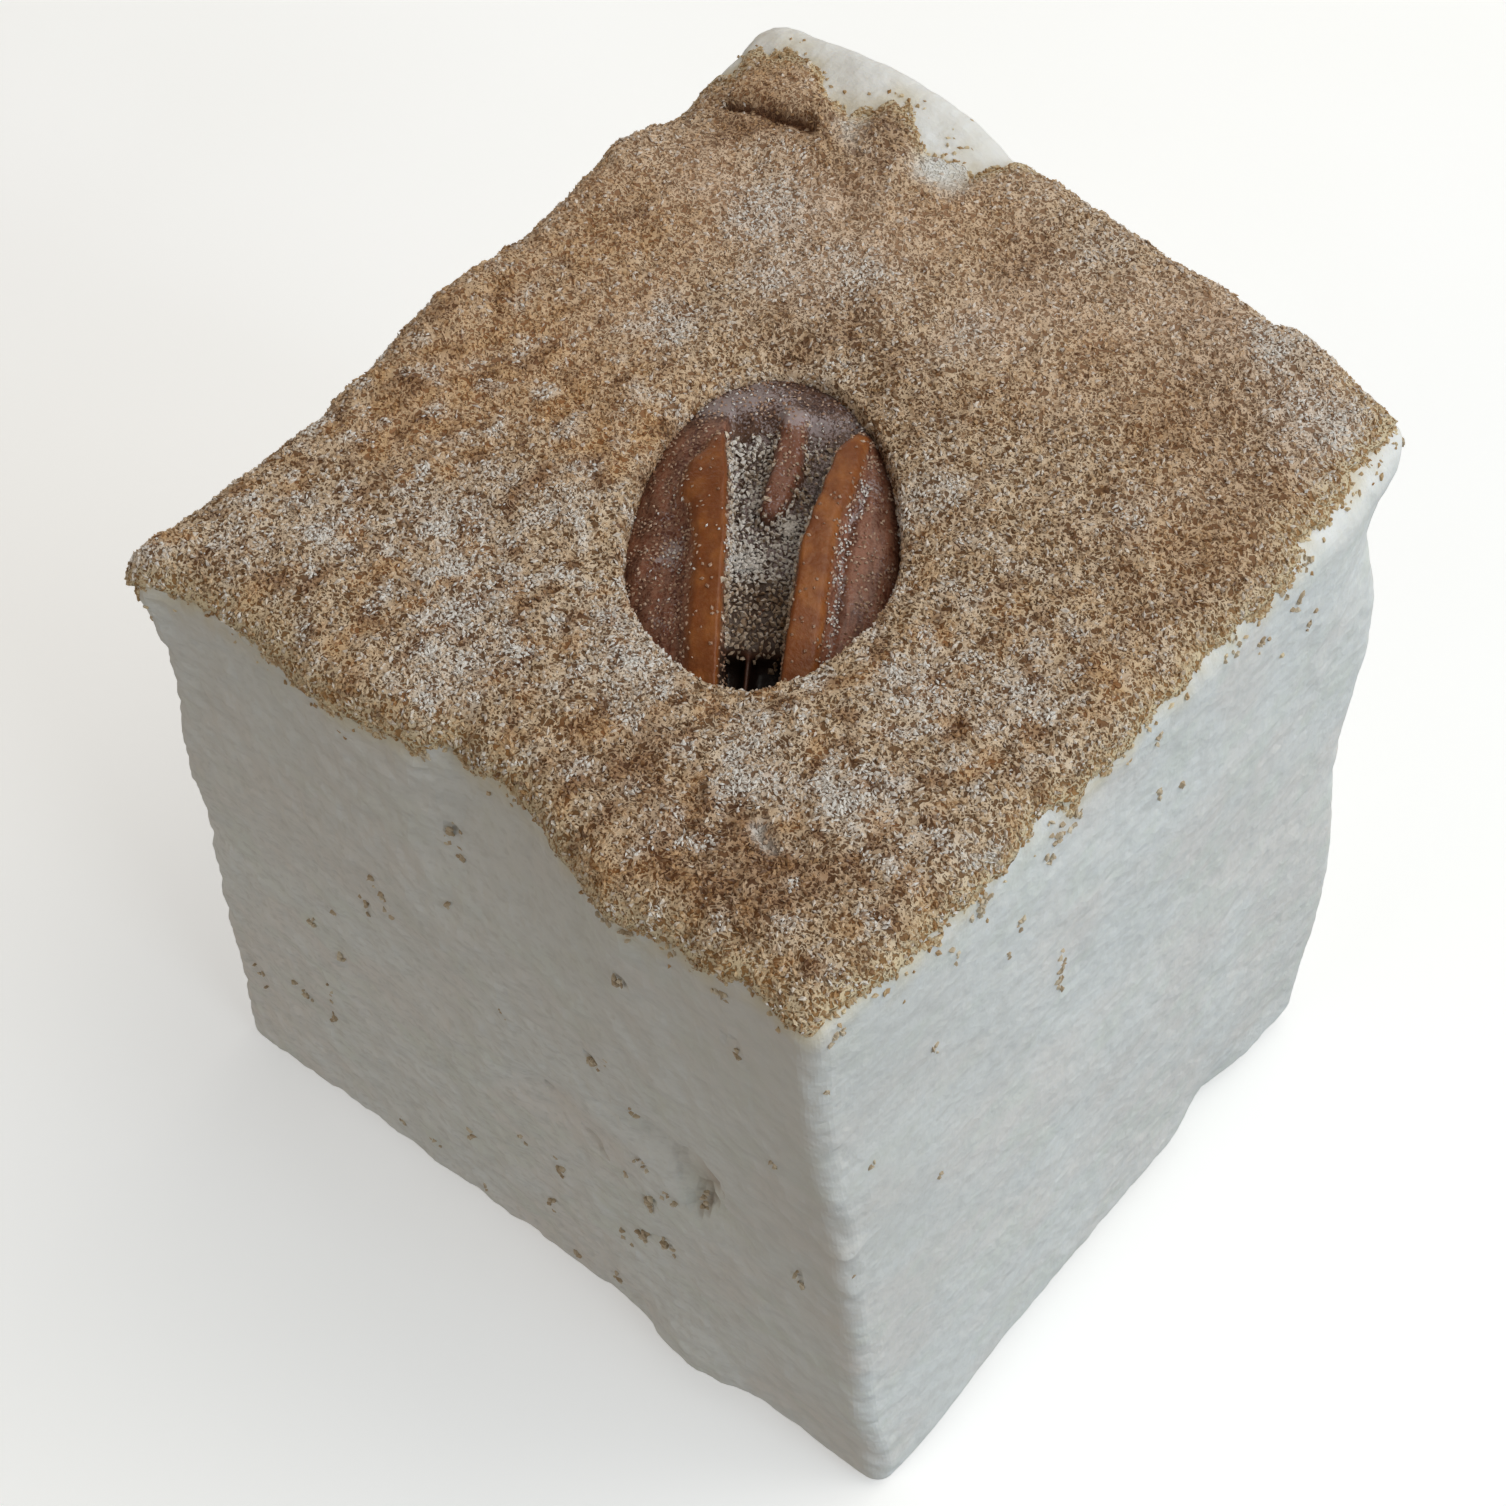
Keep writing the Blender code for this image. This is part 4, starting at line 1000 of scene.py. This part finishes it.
# %% Where the crumbs stuck
# Side, place along it, height, number of grains, spread, and how far drawn out upwards, in millimetres
CRUMBS = (
    ("front", -1.9, 46.7, 9, 0.30, 1.6), ("front", -1.2, 45.6, 4, 0.22, 1.2),
    ("front", -2.0, 41.2, 4, 0.16, 1.8), ("front", -7.8, 38.7, 4, 0.18, 1.8),
    ("front", -9.3, 34.2, 6, 0.18, 3.5), ("front", -7.0, 37.3, 5, 0.16, 4.5),
    ("front", -12.4, 30.7, 3, 0.16, 2.5), ("front", -15.1, 26.9, 5, 0.22, 3.0),
    ("front", -13.2, 24.3, 4, 0.18, 2.2), ("front", -14.7, 18.4, 5, 0.22, 3.0),
    ("front", -17.2, 14.4, 6, 0.30, 2.6), ("front", -15.0, 14.3, 4, 0.18, 3.0),
    ("front", -21.8, 12.2, 4, 0.26, 2.4), ("front", -10.6, 4.4, 5, 0.26, 2.2),
    ("front", -7.9, 5.0, 4, 0.20, 2.2), ("front", -4.3, 11.2, 6, 0.22, 2.8), ("front", 0.2, 16.6, 5, 0.18, 3.0),
    ("front", 2.9, 15.5, 6, 0.16, 5.0), ("front", 1.8, 8.8, 6, 0.26, 2.6), ("front", 8.2, 34.8, 8, 0.20, 2.6),
    ("front", 9.2, 36.1, 4, 0.14, 2.2), ("front", 1.5, 33.3, 3, 0.12, 2.4), ("front", 10.5, 31.0, 3, 0.14, 2.4),
    ("front", 11.4, 46.1, 5, 0.34, 0.6), ("front", 10.5, 20.4, 9, 0.16, 4.0),
    ("front", 10.3, 24.9, 5, 0.26, 1.4), ("front", 12.0, 23.0, 6, 0.22, 2.0),
    ("front", 9.0, 22.4, 4, 0.18, 2.2), ("front", 14.2, 24.2, 8, 0.14, 4.0), ("front", 9.3, 14.8, 8, 0.34, 1.6),
    ("front", 11.4, 15.7, 8, 0.46, 0.9), ("front", 7.6, 12.4, 4, 0.24, 2.0),
    ("front", 21.3, 25.0, 5, 0.12, 6.0), ("front", 21.1, 38.1, 3, 0.10, 2.0), ("front", 6.1, 4.0, 7, 0.28, 2.4),
    ("front", 2.9, 3.2, 3, 0.18, 2.0), ("front", -4.2, 3.6, 4, 0.18, 2.4), ("front", 18.9, 51.2, 8, 0.42, 0.8),
    ("front", 6.4, 52.4, 9, 0.22, 2.6), ("front", -6.0, 52.6, 7, 0.40, 0.7),
    ("front", -3.5, 52.0, 5, 0.26, 0.9), ("front", 12.4, 51.6, 8, 0.36, 1.2),
    ("front", 16.6, 51.8, 8, 0.40, 1.0), ("front", 10.8, 51.9, 9, 0.40, 1.3),
    ("front", 19.3, 46.6, 3, 0.30, 1.0), ("left", -13.0, 53.3, 6, 0.20, 1.0),
    ("right", 24.6, 53.2, 6, 0.20, 1.0), ("right", -6.2, 37.3, 16, 0.24, 4.0),
    ("right", -16.6, 42.3, 4, 0.22, 1.4), ("right", -16.8, 30.3, 4, 0.12, 5.0),
    ("right", -15.0, 49.4, 4, 0.14, 3.0), ("right", -9.7, 46.3, 4, 0.18, 2.4),
    ("right", -10.5, 44.5, 3, 0.14, 2.0), ("right", 1.1, 45.0, 3, 0.16, 2.0),
    ("right", 3.3, 44.1, 3, 0.22, 1.2), ("right", 9.5, 49.7, 6, 0.30, 1.6), ("right", 14.4, 47.3, 4, 0.22, 1.6),
    ("right", 12.5, 50.6, 5, 0.22, 2.0), ("right", -23.8, 47.9, 2, 0.10, 1.0),
    ("right", -21.8, 38.1, 3, 0.20, 1.2), ("right", -7.5, 48.9, 7, 0.20, 3.0),
    ("right", -6.8, 50.6, 14, 0.42, 1.2), ("right", 1.0, 50.6, 4, 0.14, 2.6),
    ("right", -5.4, 50.2, 8, 0.30, 1.2), ("right", -12.9, 51.0, 12, 0.50, 0.7),
    ("right", 11.4, 52.4, 9, 0.40, 1.3), ("right", 13.1, 52.6, 7, 0.30, 1.3),
    ("right", 6.9, 52.0, 7, 0.40, 1.0), ("right", -23.2, 51.8, 7, 0.36, 1.0),
    ("right", -9.2, 52.6, 6, 0.34, 0.8), ("right", -24.3, 28.2, 3, 0.12, 3.0),
)
HIDDEN_CRUMBS = 34
CRUMB_SEED = 7


def crumb_places():
    """The true-box place of every stuck grain, and how it leans away from the block."""
    draw = np.random.default_rng(CRUMB_SEED)
    hidden = [(("left", "back")[k % 2], draw.uniform(-21, 21), draw.uniform(4, 50), draw.integers(3, 9),
               draw.uniform(0.14, 0.34), draw.uniform(0.8, 3.0)) for k in range(HIDDEN_CRUMBS)]
    places, away = [], []
    for side, middle, height, count, spread, drawn in (*CRUMBS, *hidden):
        along_side = draw.normal(middle, spread, count) * MM
        up = draw.normal(height, spread * drawn, count) * MM
        half = WIDTH / 2 if side in ("left", "right") else DEPTH / 2
        sign = 1.0 if side in ("right", "back") else -1.0
        for a, z in zip(along_side, np.clip(up, 0.001, BODY_TOP)):
            places.append((sign * half, a, z) if side in ("left", "right") else (a, sign * half, z))
            away.append((sign, 0.0, 0.0) if side in ("left", "right") else (0.0, sign, 0.0))
    return np.array(places), np.array(away)


crumb_box_points, crumb_away = crumb_places()
print(f"crumbs: {len(crumb_box_points)} grains")


# %% Put the crumbs on the block
def crumb_tree():
    tree, given = new_tree("stick_grains", GRAIN_INPUTS)
    away = add_node(tree, "GeometryNodeInputNamedAttribute", {"Name": "away"},
                    data_type="FLOAT_VECTOR").outputs[0]
    grains_on_points(tree, given, given["Geometry"], away)
    return tree


def stick(name, places, away, finish, radius, seed, lift=0.1, length=1.6):
    """Grains at given points of the cut block."""
    mesh = new_mesh(name, places, [])
    store_vectors(mesh, "away", away)
    carrier = add_piece("carrier", mesh)
    grains = run_tree(name, carrier, stick_grains, material=finish, radius=radius, rings=3, seed=seed, lift=lift,
                      length=length)
    bpy.data.objects.remove(carrier)
    return grains


stick_grains = crumb_tree()
crumb_sugar = grain_finish("crumb_sugar", (0.400, 0.290, 0.180), (0.640, 0.540, 0.400), 1.0, 0.05, 0.50)
crumbs = stick("stuck_crumbs", settle(rounded(crumb_box_points, 0.0)), crumb_away, crumb_sugar, 0.00017, 61)
hand_over(crumbs, "marshmallow_body")


# %% [markdown]
# Grains along the margin.
# Where the bed runs out, the sugar is one grain deep and the grains stand alone against the white, so the margin is
# toothed. They sit on points of the margin line, nudged a little to either side by a seeded draw, thick at the line
# and thin below it.

# %% Margin grains
MARGIN_GRAINS = 9000
MARGIN_SEED = 19


def margin_places():
    """Points near the margin, most of them right on it and a few strayed below."""
    draw = np.random.default_rng(MARGIN_SEED)
    turn = draw.uniform(-4.0, 4.0, MARGIN_GRAINS)
    side, step = np.floor((turn + 4.0) / 2.0).astype(int), (turn + 4.0) % 2.0 - 1.0
    x = np.choose(side, (step, np.ones_like(step), -step, -np.ones_like(step)))
    y = np.choose(side, (-np.ones_like(step), step, np.ones_like(step), -step))
    on_line = over_top(x, y)
    strayed = np.where(draw.random(MARGIN_GRAINS) < 0.05, draw.exponential(0.0008, MARGIN_GRAINS),
                       draw.normal(0.0, 0.00018, MARGIN_GRAINS))
    strayed += 0.0008 * smooth(noise_at(on_line, 0.0015) * 2.0)
    hangs = np.abs(on_line[:, 2] - BODY_TOP) > 1e-7
    inward = np.column_stack([-on_line[:, 0], -on_line[:, 1], np.zeros(MARGIN_GRAINS)])
    inward /= np.linalg.norm(inward, axis=1, keepdims=True)
    places = on_line.copy()
    places[hangs, 2] -= strayed[hangs]
    places[~hangs] -= inward[~hangs] * strayed[~hangs, None]
    limits = np.array([WIDTH / 2, DEPTH / 2])
    over = np.max(np.abs(places[:, :2]) - limits, axis=1)
    places[:, :2] = np.clip(places[:, :2], -limits, limits)
    places[:, 2] -= np.maximum(over, 0.0)
    return places


margin_points = margin_places()
margin_low, margin_high = settle(rounded(margin_points, -0.0001)), settle(rounded(margin_points, 0.0004))
margin_away = (margin_high - margin_low) / np.linalg.norm(margin_high - margin_low, axis=1, keepdims=True)
margin_crystal = grain_finish("margin_crystal", (0.330, 0.170, 0.050), (0.720, 0.590, 0.390), 1.0, 0.05, 0.45)
margin_grains = stick("margin_grains", margin_low, margin_away, margin_crystal, 0.00014, 71, 0.6)
hand_over(margin_grains, "sugar_crust")


# %% [markdown]
# The pecan half.
# A pecan half is a boat with two rounded ridges along its back, a channel between them, and in the far half of the
# channel a third low ridge, the tongue. This one lies in the sugar with its near end tucked under, and shows two
# dark hollows there with a thin wall between. It could be sculpted, but each form has a name and a place on the
# nut, so its height is a sum of named forms over a half ellipsoid, in millimetres along and across. The same
# forms are kept as numbers on its points, for its colours and for the sugar that lies on it.

# %% Forms of the nut's back
NUT_ROUND, NUT_ALONG = 320, 150
RIDGE_HEIGHT, CHANNEL_DEPTH, TONGUE_HEIGHT = 0.00075, 0.0016, 0.0011
HOLLOW_DEPTH = 0.0016
LEFT_STOPS, RIGHT_STOPS = 0.0080, 0.0090
# Edges of the two ridges and of the tongue: place along the nut and place across it, in millimetres
LEFT_OUTER = ((-9, 3.3), (-5, 3.4), (0, 3.5), (2, 3.9), (3.5, 4.6), (5.2, 4.3), (6.5, 3.5), (7.6, 3.1))
LEFT_INNER = ((-9, 1.45), (0, 1.7), (3.5, 2.0), (7.6, 2.5))
RIGHT_INNER = ((-9, -1.5), (0, -1.95), (2, -2.35), (4, -2.8), (6, -3.2), (8.9, -4.4))
RIGHT_OUTER = ((-9, -3.4), (0, -3.8), (2, -3.95), (4, -4.55), (6, -4.9), (8.9, -5.2))
TONGUE_LEFT = ((2.3, 0.1), (3.2, 0.35), (4.2, 0.25), (6, 0.0), (9.6, -0.35))
TONGUE_RIGHT = ((2.3, -0.35), (3.2, -0.9), (4.2, -1.25), (6, -1.6), (9.6, -1.6))


def strip(across, low, high, low_step, high_step):
    """1 between two edges, 0 outside them, each edge with its own soft step."""
    return smooth((across - low) / low_step + 0.5) * smooth((high - across) / high_step + 0.5)


def nut_forms(place, across):
    """How strongly each named form is there, 0 to 1, at places along and across the nut."""
    crisp, round_edge = 0.00035, 0.0008
    left = strip(across, along(LEFT_INNER, place), along(LEFT_OUTER, place), crisp, round_edge)
    right = strip(across, along(RIGHT_OUTER, place), along(RIGHT_INNER, place), round_edge, crisp)
    left *= smooth((LEFT_STOPS - place) / 0.0013)
    right *= smooth((RIGHT_STOPS - place) / 0.0013)
    channel = strip(across, along(RIGHT_INNER, place), along(LEFT_INNER, place), crisp, crisp)
    channel *= smooth((LEFT_STOPS + 0.0022 - place) / 0.0026)
    tongue = strip(across, along(TONGUE_RIGHT, place), along(TONGUE_LEFT, place), 0.0007, 0.0006)
    tongue *= smooth((place - 0.0022) / 0.0008) * smooth((0.0102 - place) / 0.0014)
    wall = bell(across - 0.00025, 0.00028)
    hollow = channel * smooth((-0.0050 - place) / 0.0006) * (1.0 - 0.75 * wall)
    recess = bell(place - 0.0002, 0.0024) * bell(across - 0.0047, 0.0009)
    groove = bell(across - along(RIGHT_OUTER, place) + 0.0004, 0.0003) * smooth((0.0060 - place) / 0.0015)
    return {"left": left, "right": right, "channel": channel, "tongue": tongue, "hollow": hollow,
            "recess": recess, "groove": groove, "far_rim": smooth((place - 0.0078) / 0.0016)}


def nut_back(x, place, across, v, girth):
    """The height of the nut's back, and its forms."""
    forms = nut_forms(place, across)
    rise = NUT_DOME * np.maximum(0.0, 1.0 - np.abs(v) ** 2.6) ** 0.6
    rise += RIDGE_HEIGHT * np.maximum(forms["left"], forms["right"]) - CHANNEL_DEPTH * forms["channel"]
    rise += TONGUE_HEIGHT * forms["tongue"] - HOLLOW_DEPTH * forms["hollow"]
    rise -= 0.00045 * forms["recess"] + 0.00025 * forms["groove"] + 0.0002 * forms["far_rim"]
    slope = 1.0 - NEAR_SLOPE * smooth((-x - 0.3) / 0.7)
    return rise * girth * slope, forms


# %% The nut's mesh
def pecan_mesh():
    """Half a pecan from a ball: drawn out along X, carved by the forms, wrinkled, and stood in its place."""
    bm = bmesh.new()
    bmesh.ops.create_uvsphere(bm, u_segments=NUT_ROUND, v_segments=NUT_ALONG, radius=1.0)
    ball = bpy.data.meshes.new("ball")
    bm.to_mesh(ball)
    bm.free()
    mesh = in_fixed_order("pecan_half", ball)
    bpy.data.meshes.remove(ball)
    y, z, x = read_points(mesh).T
    girth = np.sqrt(np.maximum(0.0, 1.0 - x * x))
    v = np.clip(y / np.maximum(girth, 1e-6), -1.0, 1.0)
    place, across = x * NUT_LENGTH / 2, v * nut_taper(x) * girth ** 0.86 * NUT_WIDTH / 2
    back, forms = nut_back(x, place, across, v, girth)
    shown = z > 0
    height = np.where(shown, back, -NUT_BELLY * np.sqrt(np.maximum(0.0, 1.0 - v * v)) * girth)
    points = np.column_stack([place, across, height])
    drawn_out = points * (0.30, 1.0, 1.0)
    plain = 1.0 - 0.7 * np.maximum(forms["left"], forms["right"])
    wrinkles = 0.00009 * noise_at(drawn_out, 0.0007) + 0.00014 * noise_at(points, 0.0015, (4.0, 0, 0))
    points[:, 2] += wrinkles * plain * np.sqrt(girth)
    turn = np.array(nut_frame)
    write_points(mesh, points @ turn[:3, :3].T + turn[:3, 3])
    bm = bmesh.new()
    bm.from_mesh(mesh)
    bmesh.ops.recalc_face_normals(bm, faces=bm.faces[:])
    bm.to_mesh(mesh)
    bm.free()
    mesh.shade_smooth()
    return mesh, points, shown.astype(float), forms


pecan, nut_points, nut_shown, nut_form = pecan_mesh()
nut_place, nut_across = nut_points[:, 0], nut_points[:, 1]
far_rim, groove, recess, tongue = (nut_form[label] for label in ("far_rim", "groove", "recess", "tongue"))
ridge = np.maximum(nut_form["left"], nut_form["right"])
flank = (1.0 - ridge) * (1.0 - nut_form["channel"]) * (1.0 - far_rim)
filled = nut_form["channel"] * (1.0 - tongue) * (1.0 - smooth((-0.0050 - nut_place) / 0.0005))
patchy = smooth(0.5 + 1.2 * noise_at(nut_points, 0.0019, (0, 6.0, 0)))
clustered = smooth(0.4 + 2.2 * noise_at(nut_points, 0.0006, (9.0, 0, 0)))
far_half = smooth((nut_place + 0.0022) / 0.0022)
left_flank = flank * smooth(nut_across / 0.001)
beside_tongue = filled * smooth((-0.0010 - nut_across) / 0.0005) * smooth((nut_place - 0.0025) / 0.001)
clumps = (bell(np.hypot(nut_place - 0.0003, nut_across - 0.0007), 0.0009)
          + bell(np.hypot(nut_place - 0.0023, nut_across + 0.0013), 0.0007))
nut_kept = {
    "ridge": ridge,
    "tongue": tongue,
    "hollow": np.clip(nut_form["hollow"] * 1.3, 0, 1),
    "filled": filled,
    "rim": far_rim * (1.0 - ridge),
    "filmed": flank * (0.5 + 0.5 * patchy) + 0.5 * left_flank + 0.6 * far_rim + 0.4 * tongue + 0.08 * ridge,
    "dusted": 0.80 * far_rim * (0.4 + 0.6 * patchy) + 0.25 * groove + 0.5 * filled * far_half + 0.45 * recess
              + flank * 0.32 * patchy + 0.35 * tongue,
    "powder": filled * (0.25 + 0.55 * far_half) * (1.0 - 0.6 * beside_tongue) + clumps + groove,
    "dark": filled * (0.15 + 0.75 * (1.0 - far_half)) + 0.5 * beside_tongue,
    "white_lumps": np.clip(clumps * 1.8 - 0.5, 0, 1),
    "channel_grains": filled * (1.0 - 0.45 * beside_tongue) * smooth((0.0086 - nut_place) / 0.001),
    "powder_clumps": np.clip(clumps * 1.6, 0, 1) + 0.16 * filled * far_half + 0.40 * groove
                     + 0.16 * far_rim * patchy + 0.35 * recess * patchy,
    "skin_dots": flank * clustered * (0.65 + 0.40 * patchy) + 0.35 * left_flank * clustered
                 + 0.60 * clustered * far_rim + 0.40 * tongue + 0.09 * ridge + 0.5 * bell(ridge - 0.4, 0.25),
}
for label, values in nut_kept.items():
    store(pecan, label, np.clip(values, 0.0, 1.0) * nut_shown)
store_vectors(pecan, "along_nut", nut_points)
print(f"pecan half: {triangles(pecan)} triangles")


# %% [markdown]
# The finish of the nut.
# The ridges are rubbed to a warm orange brown with a soft gloss. The flanks are darker and redder and have fine
# streaks along the nut. A thin film of sugar dries on them in a net of strands, and mauve grey dust clings over
# it. The pattern follows the nut, not the room, so it reads the nut's own coordinates, which its points keep.

# %% Pecan finish
def pecan_finish():
    material, tree, shader = new_finish("pecan_skin", {"Specular IOR Level": 0.32, "Subsurface Weight": 0.05,
                                                       "Subsurface Scale": 0.0006})
    along_nut = add_node(tree, "ShaderNodeAttribute", attribute_name="along_nut").outputs["Vector"]
    drawn_out = stretch(tree, along_nut, (0.22, 1.0, 1.0))
    streaks = soft_step(tree, cloud(tree, drawn_out, 0.00055, 3.0, 0.6), 0.36, 0.66)
    blotches = soft_step(tree, cloud(tree, along_nut, 0.0016, 2.0), 0.40, 0.66)
    specks = soft_step(tree, cloud(tree, along_nut, 0.00035, 2.0, 0.6), 0.50, 0.70)
    flank = paint(tree, streaks, (0.100, 0.030, 0.016), (0.250, 0.094, 0.052))
    ridge = paint(tree, blotches, (0.205, 0.056, 0.011), (0.310, 0.102, 0.022))
    ridge = paint(tree, calculate(tree, "MULTIPLY", streaks, 0.25), ridge, (0.130, 0.036, 0.010))
    ridge = paint(tree, calculate(tree, "MULTIPLY", specks, 0.22), ridge, (0.330, 0.150, 0.060))
    colour = paint(tree, soft_step(tree, kept(tree, "ridge"), 0.30, 0.70), flank, ridge)
    colour = paint(tree, kept(tree, "rim"), colour, (0.060, 0.028, 0.022))
    colour = paint(tree, kept(tree, "filled"), colour, (0.078, 0.044, 0.028))
    tongue_shows = soft_step(tree, kept(tree, "tongue"), 0.35, 0.80, 0.0, 0.90)
    colour = paint(tree, tongue_shows, colour, (0.190, 0.068, 0.036))
    # Painted shade: the two hollows at the near end are painted nearly black
    colour = paint(tree, soft_step(tree, kept(tree, "hollow"), 0.10, 0.55), colour, (0.014, 0.006, 0.004))
    strands = place_group(tree, crumb_net, size=0.00050, width=0.05)
    film = calculate(tree, "MULTIPLY", strands, kept(tree, "filmed"))
    colour = paint(tree, calculate(tree, "MULTIPLY", film, 0.38), colour, (0.400, 0.225, 0.150))
    dust = place_group(tree, lying_powder, amount=kept(tree, "dusted"), speck=0.00016)
    colour = paint(tree, calculate(tree, "MULTIPLY", dust, 0.75), colour, (0.420, 0.345, 0.345))
    tree.links.new(colour, shader.inputs["Base Color"])
    tree.links.new(soft_step(tree, dust, 0.0, 1.0, 0.40, 0.85), shader.inputs["Roughness"])
    roughen(tree, shader, place_group(tree, fine_grit, size=0.00030, sharpness=0.55), 0.00008, 0.8)
    return material


pecan.materials.append(pecan_finish())
pecan_half = add_piece("pecan_half_dressed", pecan)
hand_over(pecan_half, "pecan_half")

# %% Sugar on the nut
skin_dot = grain_finish("skin_dot", (0.280, 0.135, 0.075), (0.580, 0.410, 0.300), 1.0, 0.20, 0.60)
channel_crumb = grain_finish("channel_crumb", (0.210, 0.130, 0.065), (0.680, 0.580, 0.460), 0.6, 0.20, 0.55)
NUT_KINDS = (
    ("channel_grains", channel_crumb, 0.00026, 0.00017, 0.3, 83),
    ("powder_clumps", powder_speck, 0.00015, 0.00008, 0.9, 89),
    ("skin_dots", skin_dot, 0.00022, 0.00010, 0.3, 97),
    ("white_lumps", powder_speck, 0.00018, 0.00016, 1.3, 101),
)
for name, finish, spacing, radius, lift, seed in NUT_KINDS:
    grains = run_tree(f"nut_{name}", pecan_half, strew_grains, where=name, material=finish, spacing=spacing,
                      radius=radius, lift=lift, seed=seed, length=1.35)
    hand_over(grains, "pecan_half")


# %% [markdown]
# The floor, the light and the camera.
# The block stands on a plain pale floor. Daylight comes from above and from the right, cool and broad, so the top
# and the right side are bright and the left side lies in soft shade with a little warm light from the front. A
# weak light from behind, like a pale wall, keeps the two hidden sides from going grey. The camera looks down
# steeply at the front edge, as in the photograph.

# %% Floor
def pale_floor():
    mesh = new_mesh("floor", np.array([(-2, -2, 0), (2, -2, 0), (2, 2, 0), (-2, 2, 0)], float), [(0, 1, 2, 3)])
    material, tree, shader = new_finish("pale_floor", {"Roughness": 0.7, "Specular IOR Level": 0.1,
                                                       "Emission Color": (1, 1, 1, 1), "Emission Strength": 0.35})
    place = add_node(tree, "ShaderNodeTexCoord").outputs["Object"]
    areas = soft_step(tree, cloud(tree, place, 0.05), 0.3, 0.7)
    colour = paint(tree, areas, (0.83, 0.83, 0.82), (0.85, 0.85, 0.85))
    tree.links.new(colour, shader.inputs["Base Color"])
    mesh.materials.append(material)
    floor = add_piece("floor", mesh)
    floor.visible_diffuse = False
    return floor


floor = pale_floor()


# %% Light
def soft_light(name, towards, away, size, power, colour):
    """A square soft light that looks at the block from this direction."""
    data = bpy.data.lights.new(name, "AREA")
    data.shape, data.size, data.energy, data.color = "SQUARE", size, power, colour
    lamp = bpy.data.objects.new(name, data)
    scene.collection.objects.link(lamp)
    direction = np.array(towards, float) / np.linalg.norm(towards)
    middle = np.array([0.0, 0.0, HEIGHT / 2])
    lamp.location = middle + direction * away
    lamp.rotation_euler = Vector(direction).to_track_quat("Z", "Y").to_euler()


# Name, direction, distance and size in metres, power in watts, colour
LIGHTS = (
    ("window", (1.00, 0.45, 0.60), 0.60, 0.40, 0.7, (0.86, 1.0, 1.11)),
    ("window_edge", (1.00, -0.06, 0.45), 0.60, 0.30, 1.0, (0.88, 1.0, 1.08)),
    ("ceiling", (0.35, 0.55, 0.95), 0.70, 0.60, 2.42, (1.0, 0.96, 0.88)),
    ("room", (-0.30, -1.00, 0.35), 0.70, 0.40, 0.97, (1.0, 0.93, 0.82)),
    ("far_wall", (-0.80, 0.75, 0.22), 0.70, 0.60, 1.0, (1.0, 0.97, 0.92)),
)
for light in LIGHTS:
    soft_light(*light)
world = bpy.data.worlds.new("soft_room")
world.use_nodes = True
backdrop = world.node_tree.nodes["Background"].inputs
backdrop["Color"].default_value = (1.0, 0.97, 0.90, 1.0)
backdrop["Strength"].default_value = 0.14
scene.world = world
print("lights:", ", ".join(light[0] for light in LIGHTS))
scene.view_settings.view_transform = "Standard"

# %% Camera
EYE = (0.064005, -0.070624, 0.161454)
AZIMUTH, ELEVATION, ROLL = math.radians(43.707), math.radians(54.379), math.radians(-3.0007)
LENS, SENSOR = 64.8, 36.0
camera_data = bpy.data.cameras.new("camera")
camera_data.lens, camera_data.sensor_width = LENS, SENSOR
camera_data.clip_start, camera_data.clip_end = 0.005, 20.0
camera = bpy.data.objects.new("camera", camera_data)
camera.matrix_world = (Matrix.Translation(EYE) @ Matrix.Rotation(AZIMUTH, 4, "Z")
                       @ Matrix.Rotation(math.pi / 2 - ELEVATION, 4, "X") @ Matrix.Rotation(ROLL, 4, "Z"))
scene.collection.objects.link(camera)
scene.camera = camera
print(f"camera {camera.location.length / MM:.0f} mm from the middle of the base")
